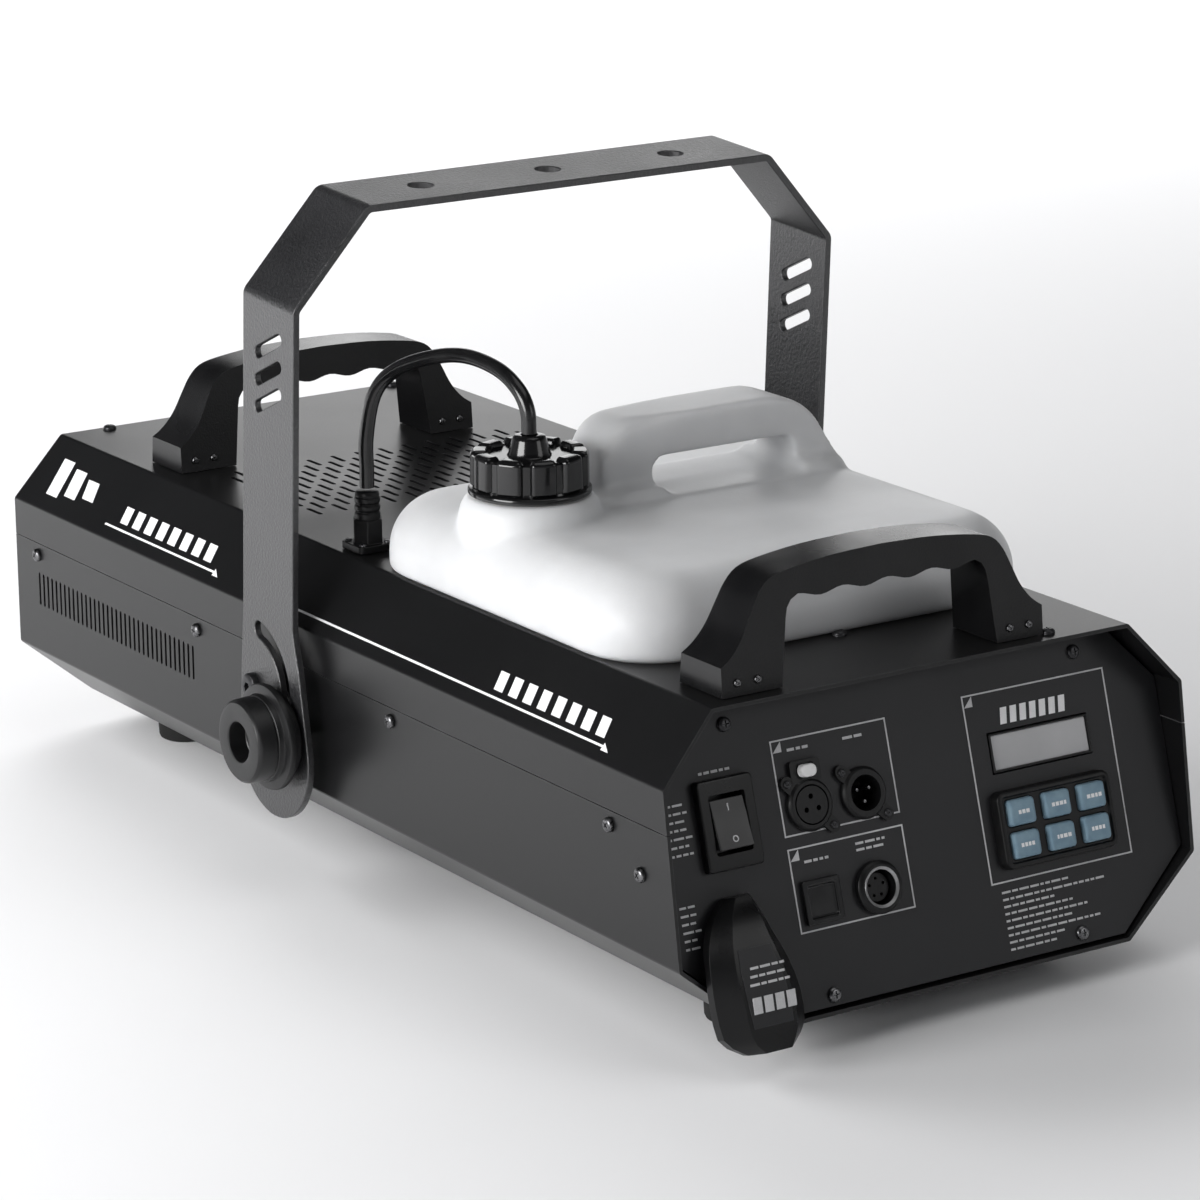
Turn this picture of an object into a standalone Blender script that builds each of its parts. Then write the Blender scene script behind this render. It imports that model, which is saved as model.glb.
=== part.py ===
"""Stage fog machine: octagonal housing, lift-out tank, carrying handles and tilting yoke.

Metres, +Z up, X across, Y along the length. The control panel end is at -Y.
The housing's own dimensions are measured from its underside, BODY_Z above the ground.
"""
import bpy
import bmesh
from math import cos, hypot, pi, radians, sin, sqrt
from mathutils import Matrix, Vector

# Driving dimensions
WIDTH = 0.320             # housing, across
LENGTH = 0.700            # housing, along, at its underside
HEIGHT = 0.160            # housing, without feet
BODY_Z = 0.018            # underside above the ground: the feet's height
TOP_CHAMFER = (0.032, 0.034)
LOW_CHAMFER = (0.046, 0.038)
SEAM_Z = 0.104            # where the top cover meets the bottom tray
END_LEAN = 0.0245         # how far the rear edge leans in over the height
SHEET = 0.002             # sheet metal
GAP = 0.0004              # clearance between neighbours
PANEL_LEAN = radians(16.5)
HALF_W = WIDTH / 2
REAR_Y = -LENGTH / 2
FRONT_Y = LENGTH / 2
DECK_Z = BODY_Z + HEIGHT

# Fluid tank and its well
TANK_X = 0.1215           # half width inside the well
TANK_Y = (-0.2500, -0.0080)
TANK_BULGE = 0.0080       # how far the tank spreads over the deck
WELL_GAP = 0.0025
WELL_DEPTH = 0.050
TANK_RISE = 0.041         # shoulder above the deck
TANK_WALL = 0.002
NECK = Vector((-0.0855, -0.1000))
NECK_R = 0.0255
CAP_R = 0.0310

# Yoke
YOKE_HALF = 0.1725        # outer face of a leg
YOKE_BAR = (0.053, 0.004)  # width and thickness of the flat bar
PIVOT = Vector((0.042, BODY_Z + 0.088))
SLOT_R = 0.034            # curved slot, about the pivot
STUD_ANGLE = radians(216)
YOKE_LEAN = radians(3.3)
LEG_OFFSET = -0.0138      # leg's centre line from the pivot
YOKE_BEND_Z = 0.2180      # where a leg bends, above the pivot
YOKE_TOP_Z = 0.2690
YOKE_BEND_X = 0.0445      # how far the sloping part comes in
SLOT_SPAN = (98, 38)      # curved slot's first angle, and how far it runs past the stud, in degrees
SLOT_WIDTH = 0.0095
LEG_SLOTS = (0.1930, 0.0148, 0.0305, 0.0065)  # first height, pitch, length and width
TOP_HOLES = (0.080, 0.0070)  # pitch and radius
PAD = (-0.0205, -0.0300, 0.0375)  # round lower pad: centre and radius
STUD = PIVOT + SLOT_R * Vector((cos(STUD_ANGLE), sin(STUD_ANGLE)))

# Handles
HANDLE_X = -0.018         # both handles sit a little to the left of the middle
HANDLE_DEPTH = 0.036
REAR_HANDLE_Y = -0.299
FRONT_HANDLE_Y = 0.240
HANDLE_TOP = 0.0612
HANDLE_TAPER = 0.28       # share of the depth lost at the top

# Hose and its fitting
FITTING = Vector((-0.1125, 0.020))
FITTING_TOP = 0.034
HOSE_R = 0.0040

# Control panel: centres (x, z) along the plate
SWITCH = (-0.1160, 0.1030)
DMX_OUT = (-0.0667, 0.1030)
DMX_IN = (-0.0340, 0.1030)
REMOTE = (-0.0685, 0.0560)
WIRELESS = (-0.0345, 0.0560)
DISPLAY = (0.0785, 0.1080)
KEYPAD = (0.0780, 0.0690)
INLET = (-0.1120, 0.0300)
SOCKET_R = 0.0118
LATCH_RISE = 0.0170       # latch above the connector's centre
KEY_SIZE = (0.0165, 0.0135)
KEY_PITCH = (0.0225, 0.0165)

# Vents and screws
LOUVRES = (36, 0.134, 0.00535, 0.0765)  # count, first y, pitch and height
GRILLE = (25, 5, 0.0080, 0.0215, 0.0107)  # columns, rows, pitches and stagger
GRILLE_Y = 0.106
SIDE_SCREWS = ((0.322, 0.097), (0.128, 0.097), (-0.080, 0.097), (-0.285, 0.097))
SCREW_HOLE_R = 0.0022

# Inner works
NOZZLE_Z = BODY_Z + 0.0760
RING_STANDOFF = 0.0159    # nozzle ring, in front of the housing
HEATER_Y = (0.120, 0.300)
HEATER_HALF = 0.0300
FLOOR_Z = BODY_Z + SHEET + GAP

colours = {
    "black_steel": ((0.012, 0.012, 0.013), 0.38, 0.4),
    "panel_black": ((0.020, 0.020, 0.022), 0.5, 0.2),
    "yoke_steel": ((0.030, 0.030, 0.032), 0.55, 0.3),
    "black_plastic": ((0.015, 0.015, 0.016), 0.35, 0.0),
    "tank_plastic": ((0.82, 0.83, 0.84), 0.4, 0.0),
    "key_blue": ((0.22, 0.36, 0.47), 0.5, 0.0),
    "display_grey": ((0.55, 0.58, 0.58), 0.2, 0.0),
    "bright_steel": ((0.55, 0.55, 0.56), 0.3, 1.0),
    "plain_steel": ((0.40, 0.40, 0.41), 0.4, 1.0),
    "brass": ((0.62, 0.44, 0.18), 0.35, 1.0),
    "aluminium": ((0.60, 0.61, 0.62), 0.4, 1.0),
    "rubber": ((0.02, 0.02, 0.02), 0.85, 0.0),
    "circuit_green": ((0.03, 0.16, 0.07), 0.5, 0.0),
    "white_wrap": ((0.66, 0.64, 0.58), 0.9, 0.0),
    "clear_tube": ((0.62, 0.66, 0.68), 0.25, 0.0),
}


def clear_scene():
    for obj in list(bpy.data.objects):
        bpy.data.objects.remove(obj, do_unlink=True)


def get_material(key):
    if key in bpy.data.materials:
        return bpy.data.materials[key]
    colour, roughness, metallic = colours[key]
    material = bpy.data.materials.new(key)
    material.use_nodes = True
    shader = material.node_tree.nodes["Principled BSDF"]
    shader.inputs["Base Color"].default_value = (*colour, 1.0)
    shader.inputs["Roughness"].default_value = roughness
    shader.inputs["Metallic"].default_value = metallic
    return material


def finish_mesh(name, bm, material, parent=None, origin=(0, 0, 0)):
    """Turn a bmesh into a named object, smooth on its round parts."""
    bmesh.ops.recalc_face_normals(bm, faces=bm.faces)
    mesh = bpy.data.meshes.new(name)
    bm.to_mesh(mesh)
    bm.free()
    mesh.shade_smooth()
    mesh.set_sharp_from_angle(angle=radians(35))
    obj = bpy.data.objects.new(name, mesh)
    obj.location = origin
    obj.parent = parent
    if material:
        mesh.materials.append(get_material(material))
    bpy.context.scene.collection.objects.link(obj)
    return obj


def axis_frame(axis):
    """Columns are the outline's two directions, then the direction it is extruded in."""
    frames = {
        "X": Matrix(((0, 0, 1), (1, 0, 0), (0, 1, 0))),
        "Y": Matrix(((1, 0, 0), (0, 0, 1), (0, 1, 0))),
        "Z": Matrix(((1, 0, 0), (0, 1, 0), (0, 0, 1))),
    }
    return frames[axis]


def prism_mesh(outline, axis, start, end):
    """Extrude a closed outline along an axis. Outlines are (y, z), (x, z) or (x, y)."""
    frame = axis_frame(axis)
    bm = bmesh.new()
    rings = []
    for level in (start, end):
        rings.append([bm.verts.new(frame @ Vector((u, v, level))) for u, v in outline])
    count = len(outline)
    for i in range(count):
        j = (i + 1) % count
        bm.faces.new((rings[0][i], rings[0][j], rings[1][j], rings[1][i]))
    bm.faces.new(rings[0])
    bm.faces.new(rings[1])
    return bm


def add_prism(name, outline, axis, start, end, material=None, parent=None, origin=(0, 0, 0)):
    return finish_mesh(name, prism_mesh(outline, axis, start, end), material, parent, origin)


def add_box(name, low, high, material=None, parent=None, origin=(0, 0, 0)):
    outline = [(low[0], low[1]), (high[0], low[1]), (high[0], high[1]), (low[0], high[1])]
    return add_prism(name, outline, "Z", low[2], high[2], material, parent, origin)


def turned_mesh(profile, axis, centre, sides=32):
    """Turn a closed (radius, height) profile about an axis through centre."""
    frame = axis_frame(axis)
    bm = bmesh.new()
    rings = []
    for radius, height in profile:
        if radius < 1e-6:
            rings.append([bm.verts.new(frame @ Vector((0, 0, height)) + Vector(centre))])
            continue
        ring = []
        for i in range(sides):
            angle = 2 * pi * i / sides
            point = Vector((radius * cos(angle), radius * sin(angle), height))
            ring.append(bm.verts.new(frame @ point + Vector(centre)))
        rings.append(ring)
    count = len(rings)
    for k in range(count):
        lower, upper = rings[k], rings[(k + 1) % count]
        if len(lower) == 1 and len(upper) == 1:
            continue
        for i in range(sides):
            j = (i + 1) % sides
            corners = [lower[i % len(lower)], lower[j % len(lower)], upper[j % len(upper)],
                       upper[i % len(upper)]]
            unique = list(dict.fromkeys(corners))
            bm.faces.new(unique)
    return bm


def add_turned(name, profile, axis, centre, material=None, parent=None, sides=32, origin=(0, 0, 0)):
    bm = turned_mesh(profile, axis, Vector(centre) - Vector(origin), sides)
    return finish_mesh(name, bm, material, parent, origin)


def rod_profile(radius, low, high):
    return [(0, low), (radius, low), (radius, high), (0, high)]


def ring_profile(inner, outer, low, high):
    return [(inner, low), (outer, low), (outer, high), (inner, high)]


def add_rod(name, radius, axis, centre, low, high, material=None, parent=None, sides=24,
            origin=(0, 0, 0)):
    return add_turned(name, rod_profile(radius, low, high), axis, centre, material, parent, sides, origin)


def combine(target, other, operation):
    """Keep a Boolean modifier on the target and hide its tool."""
    other.hide_render = True
    other.display_type = "WIRE"
    modifier = target.modifiers.new(operation.lower(), "BOOLEAN")
    modifier.operation = operation
    modifier.object = other
    modifier.solver = "EXACT"
    return target


def cut(target, cutter):
    return combine(target, cutter, "DIFFERENCE")


def join(target, other):
    return combine(target, other, "UNION")


def merge_meshes(name, meshes, parent=None):
    """One hidden tool made of several separate closed shapes."""
    bm = bmesh.new()
    for piece in meshes:
        mesh = bpy.data.meshes.new(name)
        piece.to_mesh(mesh)
        piece.free()
        bm.from_mesh(mesh)
        bpy.data.meshes.remove(mesh)
    return finish_mesh(name, bm, None, parent)


def bevel(obj, width, segments=2, angle=35):
    modifier = obj.modifiers.new("bevel", "BEVEL")
    modifier.width = width
    modifier.segments = segments
    modifier.limit_method = "ANGLE"
    modifier.angle_limit = radians(angle)
    return obj


def rounded_rectangle(half_x, half_y, radius, steps=5, centre=(0, 0)):
    """Outline of a rectangle with round corners, anticlockwise."""
    points = []
    corners = ((1, 1, 0), (-1, 1, 90), (-1, -1, 180), (1, -1, 270))
    for sign_x, sign_y, start in corners:
        for i in range(steps + 1):
            angle = radians(start + 90 * i / steps)
            x = centre[0] + sign_x * (half_x - radius) + radius * cos(angle)
            y = centre[1] + sign_y * (half_y - radius) + radius * sin(angle)
            points.append((x, y))
    return points


def arc(centre, radius, start, end, steps):
    """Points along an arc, angles in degrees."""
    points = []
    for i in range(steps + 1):
        angle = radians(start + (end - start) * i / steps)
        points.append((centre[0] + radius * cos(angle), centre[1] + radius * sin(angle)))
    return points


# Housing shells

def shell_outline(inset, low_z, high_z):
    """Half octagon between two levels, inset by the sheet's thickness. (x, z) points, left to right."""
    top = HEIGHT - inset
    bottom = inset
    corner = inset * (sqrt(2) - 1)
    side = HALF_W - inset
    points = []
    if low_z < LOW_CHAMFER[1]:
        points += [(side, high_z), (side, LOW_CHAMFER[1] + corner),
                   (HALF_W - LOW_CHAMFER[0] - corner, bottom)]
        half = points
        return half + [(-x, z) for x, z in reversed(half)]
    points += [(side, low_z), (side, HEIGHT - TOP_CHAMFER[1] - corner),
               (HALF_W - TOP_CHAMFER[0] - corner, top)]
    return points + [(-x, z) for x, z in reversed(points)]


def add_shell(name, low_z, high_z):
    """Bent sheet shell: outer outline out, inner outline back."""
    outer = shell_outline(0, low_z, high_z)
    inner = shell_outline(SHEET, low_z, high_z)
    outline = outer + list(reversed(inner))
    bm = prism_mesh(outline, "Y", REAR_Y, FRONT_Y)
    for vertex in bm.verts:
        if vertex.co.y < 0:
            vertex.co.y += END_LEAN * vertex.co.z / HEIGHT
        vertex.co.z += BODY_Z
    return finish_mesh(name, bm, "black_steel")


def slot_mesh(x, y, half_x, half_y, low, high, axis="Z"):
    """A plain slot cutter, its outline in the plane across the axis."""
    outline = [(x - half_x, y - half_y), (x + half_x, y - half_y), (x + half_x, y + half_y),
               (x - half_x, y + half_y)]
    return prism_mesh(outline, axis, low, high)




def make_bottom_tray():
    tray = add_shell("bottom_tray", 0, SEAM_Z)
    louvres = []
    for side in (-1, 1):
        count, first, pitch, level = LOUVRES
        for i in range(count):
            y = first + i * pitch
            start = side * (HALF_W + 0.004)
            end = side * (HALF_W - 0.006)
            low, high = min(start, end), max(start, end)
            louvres.append(slot_mesh(y, BODY_Z + level, 0.0011, 0.0100, low, high, "X"))
    cut(tray, merge_meshes("tray_louvres", louvres))
    holes = []
    for side in (-1, 1):
        for y, z in SIDE_SCREWS:
            low, high = sorted((side * (HALF_W + 0.004), side * (HALF_W - 0.006)))
            holes.append(turned_mesh(rod_profile(SCREW_HOLE_R, low, high), "X", (0, y, BODY_Z + z), 12))
        for centre, radius in ((PIVOT, 0.0045), (STUD, 0.0045)):
            low, high = sorted((side * (HALF_W + 0.004), side * (HALF_W - 0.006)))
            holes.append(turned_mesh(rod_profile(radius, low, high), "X", (0, centre.x, centre.y), 16))
    cut(tray, merge_meshes("tray_holes", holes))
    return tray


def make_top_cover():
    cover = add_shell("top_cover", SEAM_Z + GAP, HEIGHT)
    grille = []
    columns, rows, pitch_x, pitch_y, stagger = GRILLE
    for row in range(rows):
        for column in range(columns):
            x = (column - (columns - 1) / 2) * pitch_x
            y = GRILLE_Y + row * pitch_y + (stagger if column % 2 else 0)
            grille.append(slot_mesh(x, y, 0.0014, 0.0080, DECK_Z - 0.008, DECK_Z + 0.004))
    cut(cover, merge_meshes("cover_grille", grille))
    centre_y = sum(TANK_Y) / 2
    half_y = (TANK_Y[1] - TANK_Y[0]) / 2 + WELL_GAP
    opening = rounded_rectangle(TANK_X + WELL_GAP, half_y, 0.033, 5, (0, centre_y))
    cutter = add_prism("cover_opening", opening, "Z", DECK_Z - 0.010, DECK_Z + 0.010)
    cut(cover, cutter)
    return cover


def make_front_panel():
    """Flat plate that closes the nozzle end, just inside both shells."""
    low = shell_outline(SHEET + GAP, 0, SEAM_Z)
    high = shell_outline(SHEET + GAP, SEAM_Z, HEIGHT)
    outline = low + list(reversed(high[1:-1]))
    outline = [(x, z + BODY_Z) for x, z in outline]
    panel = add_prism("front_panel", outline, "Y", FRONT_Y - 0.005, FRONT_Y - 0.003, "black_steel")
    hole = add_rod("front_panel_hole", 0.0165, "Y", (0, 0, NOZZLE_Z), FRONT_Y - 0.010, FRONT_Y + 0.002)
    cut(panel, hole)
    return panel


def make_tank_well():
    """Open tub that hangs under the deck and carries the tank."""
    centre_y = sum(TANK_Y) / 2
    half_y = (TANK_Y[1] - TANK_Y[0]) / 2 + WELL_GAP
    top = DECK_Z - SHEET - GAP
    bottom = DECK_Z - WELL_DEPTH - SHEET
    outline = rounded_rectangle(TANK_X + WELL_GAP + 0.0012, half_y + 0.0012, 0.033, 5, (0, centre_y))
    well = add_prism("tank_well", outline, "Z", bottom, top, "black_steel")
    hollow = rounded_rectangle(TANK_X + WELL_GAP - 0.0003, half_y - 0.0003, 0.0315, 5, (0, centre_y))
    cut(well, add_prism("well_hollow", hollow, "Z", bottom + SHEET, top + 0.010))
    return well


# Fluid tank

def loft_mesh(rings):
    """Skin a list of equal closed rings and close both ends."""
    bm = bmesh.new()
    made = [[bm.verts.new(point) for point in ring] for ring in rings]
    count = len(made[0])
    for lower, upper in zip(made, made[1:]):
        for i in range(count):
            j = (i + 1) % count
            bm.faces.new((lower[i], lower[j], upper[j], upper[i]))
    bm.faces.new(made[0])
    bm.faces.new(made[-1])
    return bm


def tank_levels(inset):
    """(height, how far the wall stands out from the well's wall line) pairs up the tank."""
    floor = DECK_Z - WELL_DEPTH + 0.0006
    shoulder = DECK_Z + TANK_RISE
    round_r = 0.026
    levels = [(floor + inset, -0.0060 - inset), (floor + 0.006, -inset)]
    levels += [(DECK_Z - 0.001, -inset), (DECK_Z + 0.0035, TANK_BULGE - 0.002 - inset)]
    levels += [(DECK_Z + 0.0065, TANK_BULGE - inset)]
    for i in range(6):
        angle = radians(15 * i)
        rise = shoulder - round_r + (round_r - inset) * sin(angle)
        levels.append((rise, TANK_BULGE - round_r + (round_r - inset) * cos(angle)))
    levels.append((shoulder - inset, TANK_BULGE - round_r - 0.012))
    return levels


def tank_rings(inset):
    centre_y = sum(TANK_Y) / 2
    half_y = (TANK_Y[1] - TANK_Y[0]) / 2
    rings = []
    for height, out in tank_levels(inset):
        radius = max(0.031 + out, 0.004)
        outline = rounded_rectangle(TANK_X + out, half_y + out, radius, 5, (0, centre_y))
        rings.append([(x, y, height) for x, y in outline])
    return rings


def grip_outline():
    """Side view of the tank's own grip, (x, z) above the deck, and its finger gap."""
    base = DECK_Z + TANK_RISE - 0.010
    points = [(-0.0440, base), (-0.0425, DECK_Z + 0.0600)]
    points += [(x, DECK_Z + z) for x, z in arc((-0.0205, 0.0610), 0.0220, 170, 95, 4)]
    points += [(0.0600, DECK_Z + 0.0830)]
    points += [(x, DECK_Z + z) for x, z in arc((0.0660, 0.0430), 0.0400, 80, 30, 4)]
    points += [(0.1150, DECK_Z + 0.0400), (0.1190, base)]
    return points


def make_tank():
    tank = finish_mesh("tank", loft_mesh(tank_rings(0)), "tank_plastic")
    grip = add_prism("tank_grip", grip_outline(), "Y", -0.103, -0.067)
    bevel(grip, 0.006, 2, 40)
    join(tank, grip)
    shoulder = DECK_Z + TANK_RISE
    boss = [(0, -0.012), (0.0370, -0.012), (0.0345, 0.004), (0.0335, 0.0075), (NECK_R, 0.0080),
            (NECK_R, 0.026), (0, 0.026)]
    join(tank, add_turned("tank_boss", boss, "Z", (NECK.x, NECK.y, shoulder), sides=32))
    gap = rounded_rectangle(0.0445, 0.0090, 0.006, 3, (0.0350, DECK_Z + 0.0515))
    cut(tank, add_prism("tank_grip_gap", gap, "Y", -0.120, -0.050))
    cut(tank, finish_mesh("tank_hollow", loft_mesh(tank_rings(TANK_WALL)), None))
    bore = add_rod("tank_bore", NECK_R - 0.003, "Z", (NECK.x, NECK.y, shoulder), -0.010, 0.030, sides=32)
    cut(tank, bore)
    return tank


def make_tank_cap():
    """Ribbed screw cap over the neck, with a raised hose grommet."""
    base = DECK_Z + TANK_RISE + 0.0090
    height = 0.0265
    sides = 40
    outline = []
    for i in range(sides):
        radius = CAP_R if i % 2 else CAP_R - 0.0014
        angle = 2 * pi * i / sides
        outline.append((NECK.x + radius * cos(angle), NECK.y + radius * sin(angle)))
    cap = add_prism("tank_cap", outline, "Z", base + 0.003, base + height, "black_plastic")
    lip = [(0, 0), (CAP_R + 0.0012, 0), (CAP_R + 0.0012, 0.0034), (0, 0.0034)]
    join(cap, add_turned("cap_lip", lip, "Z", (NECK.x, NECK.y, base), sides=40))
    collar = rod_profile(0.0085, height - 0.002, height + 0.0070)
    join(cap, add_turned("cap_collar", collar, "Z", (NECK.x, NECK.y, base), sides=24))
    cavity = rod_profile(NECK_R + GAP, -0.002, height - 0.0065)
    cut(cap, add_turned("cap_cavity", cavity, "Z", (NECK.x, NECK.y, base), sides=32))
    bore = rod_profile(0.0043, 0.001, height + 0.010)
    cut(cap, add_turned("cap_bore", bore, "Z", (NECK.x, NECK.y, base), sides=16))
    return cap


def make_pickup():
    """Tube that hangs from the cap into the fluid, with a strainer at its foot."""
    cap_base = DECK_Z + TANK_RISE + 0.0090
    floor = DECK_Z - WELL_DEPTH + 0.0006 + TANK_WALL
    tube = ring_profile(0.0020, 0.0038, floor + 0.0110, cap_base + 0.0170)
    add_turned("pickup_tube", tube, "Z", (NECK.x, NECK.y, 0), "clear_tube", sides=16)
    strainer = [(0, 0.0020), (0.0095, 0.0020), (0.0095, 0.0085), (0.0060, 0.0105), (0, 0.0105)]
    add_turned("intake_filter", strainer, "Z", (NECK.x, NECK.y, floor), "brass", sides=24)


def catmull(points, steps):
    """Smooth curve through the points, with a fixed number of steps between neighbours."""
    points = [Vector(point) for point in points]
    padded = [2 * points[0] - points[1]] + points + [2 * points[-1] - points[-2]]
    result = []
    for i in range(1, len(padded) - 2):
        a, b, c, d = padded[i - 1:i + 3]
        for k in range(steps):
            t = k / steps
            result.append(0.5 * (2 * b + (c - a) * t + (2 * a - 5 * b + 4 * c - d) * t ** 2
                                 + (3 * b - a - 3 * c + d) * t ** 3))
    return result + [points[-1]]


def add_tube(name, route, radius, material, steps=4, sides=2):
    """Round tube along a smooth curve through the route."""
    curve = bpy.data.curves.new(name, "CURVE")
    curve.dimensions = "3D"
    curve.bevel_depth = radius
    curve.bevel_resolution = sides
    curve.use_fill_caps = True
    spline = curve.splines.new("POLY")
    points = catmull(route, steps)
    spline.points.add(len(points) - 1)
    for target, point in zip(spline.points, points):
        target.co = (*point, 1)
    curve.materials.append(get_material(material))
    obj = bpy.data.objects.new(name, curve)
    bpy.context.scene.collection.objects.link(obj)
    return obj




def make_hose():
    """Suction hose: from the bulkhead fitting, over in an arch, down into the cap's collar."""
    cap_top = DECK_Z + TANK_RISE + 0.0090 + 0.0265 + 0.0070
    start = DECK_Z + FITTING_TOP + GAP
    route = [
        (-0.1125, 0.0200, start),
        (-0.1125, 0.0198, start + 0.010),
        (-0.1125, 0.0195, DECK_Z + 0.0620),
        (-0.1110, 0.0130, DECK_Z + 0.0860),
        (-0.1060, 0.0000, DECK_Z + 0.1010),
        (-0.0980, -0.0240, DECK_Z + 0.1115),
        (-0.0915, -0.0480, DECK_Z + 0.1160),
        (-0.0880, -0.0740, DECK_Z + 0.1135),
        (-0.0865, -0.0910, DECK_Z + 0.1060),
        (NECK.x, -0.0985, DECK_Z + 0.0960),
        (NECK.x, NECK.y, cap_top + GAP),
    ]
    add_tube("hose", route, HOSE_R, "black_plastic", 3, 2)


def make_hose_fitting():
    """Elbow-less bulkhead fitting: square flange, hexagon and hose tail."""
    base = DECK_Z + GAP
    flange = rounded_rectangle(0.0110, 0.0110, 0.003, 2, (FITTING.x, FITTING.y))
    fitting = add_prism("hose_fitting", flange, "Z", base, base + 0.004, "black_plastic")
    hexagon = [(FITTING.x + 0.0088 * cos(radians(60 * i)),
                FITTING.y + 0.0088 * sin(radians(60 * i))) for i in range(6)]
    join(fitting, add_prism("fitting_hexagon", hexagon, "Z", base + 0.003, base + 0.018))
    tail = [(0, 0.016), (0.0068, 0.016), (0.0068, 0.030), (0.0058, FITTING_TOP - GAP),
            (0, FITTING_TOP - GAP)]
    join(fitting, add_turned("fitting_tail", tail, "Z", (FITTING.x, FITTING.y, base), sides=20))
    return fitting


# Handles

def handle_outline():
    """Arch seen from the end of the machine: (x, z) from the middle of the foot line."""
    right = [(0.0980, 0.0), (0.0980, 0.0150)]
    right += [(0.0900, 0.0210), (0.0835, 0.0300), (0.0780, 0.0410), (0.0730, 0.0490), (0.0660, 0.0550)]
    right += [(0.0400, 0.0595), (0.0140, HANDLE_TOP)]
    outer = right + [(-x, z) for x, z in reversed(right)]
    waves = []
    count = 16
    for i in range(count + 1):
        x = -0.0510 + 0.1080 * i / count
        waves.append((x, 0.0430 + 0.0012 * cos(2 * pi * 4 * i / count)))
    inner = [(-0.0625, 0.0), (-0.0585, 0.0375)] + waves + [(0.0640, 0.0375), (0.0690, 0.0)]
    return outer + inner


def make_handle(name, centre_y):
    outline = [(x + HANDLE_X, z + DECK_Z + GAP) for x, z in handle_outline()]
    half = HANDLE_DEPTH / 2
    bm = prism_mesh(outline, "Y", centre_y - half, centre_y + half)
    for vertex in bm.verts:
        rise = (vertex.co.z - DECK_Z) / HANDLE_TOP
        vertex.co.y = centre_y + (vertex.co.y - centre_y) * (1 - HANDLE_TAPER * max(rise, 0))
    handle = finish_mesh(name, bm, "black_plastic")
    return bevel(handle, 0.0028, 1, 50)


# Yoke, with its own frame on the pivot

def leg_outline():
    """Side view of one leg from the pivot, (y, z), with its round lower pad."""
    near = LEG_OFFSET - YOKE_BAR[0] / 2
    far = LEG_OFFSET + YOKE_BAR[0] / 2
    points = [(far, YOKE_BEND_Z)]
    points += [(far, 0.040), (far + 0.0020, -0.010)]
    points += arc(PAD[:2], PAD[2], 5, -190, 14)
    points += [(near - 0.0075, 0.0180), (near, 0.0420), (near, YOKE_BEND_Z)]
    return points




def band_outline():
    """Front view of the bent bar above the legs: (x, z) of outer then inner face."""
    thick = YOKE_BAR[1]
    slope = hypot(YOKE_BEND_X, YOKE_TOP_Z - YOKE_BEND_Z)
    lean = thick * (slope - (YOKE_TOP_Z - YOKE_BEND_Z)) / YOKE_BEND_X
    drop = thick * (slope - YOKE_BEND_X) / (YOKE_TOP_Z - YOKE_BEND_Z)
    low = YOKE_BEND_Z - 0.010
    outer = [(YOKE_HALF, low), (YOKE_HALF, YOKE_BEND_Z), (YOKE_HALF - YOKE_BEND_X, YOKE_TOP_Z)]
    inner = [(YOKE_HALF - thick, low), (YOKE_HALF - thick, YOKE_BEND_Z - lean),
             (YOKE_HALF - YOKE_BEND_X - drop, YOKE_TOP_Z - thick)]
    outer += [(-x, z) for x, z in reversed(outer)]
    inner += [(-x, z) for x, z in reversed(inner)]
    return outer + list(reversed(inner))


def slot_outline(centre, length, width, angle, steps=5):
    """Straight slot with round ends."""
    direction = Vector((cos(angle), sin(angle)))
    half = (length - width) / 2
    degrees_angle = angle * 180 / pi
    far = Vector(centre) + half * direction
    near = Vector(centre) - half * direction
    return (arc(far, width / 2, degrees_angle - 90, degrees_angle + 90, steps)
            + arc(near, width / 2, degrees_angle + 90, degrees_angle + 270, steps))


def curved_slot_outline(radius, width, start, end):
    """Slot that follows a circle about the pivot."""
    half = width / 2
    outer = arc((0, 0), radius + half, start, end, 14)
    inner = arc((0, 0), radius - half, end, start, 14)
    end_centre = arc((0, 0), radius, end, end, 1)[0]
    start_centre = arc((0, 0), radius, start, start, 1)[0]
    end_cap = arc(end_centre, half, end, end + 180, 5)[1:-1]
    start_cap = arc(start_centre, half, start + 180, start + 360, 5)[1:-1]
    return outer + end_cap + inner + start_cap


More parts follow.
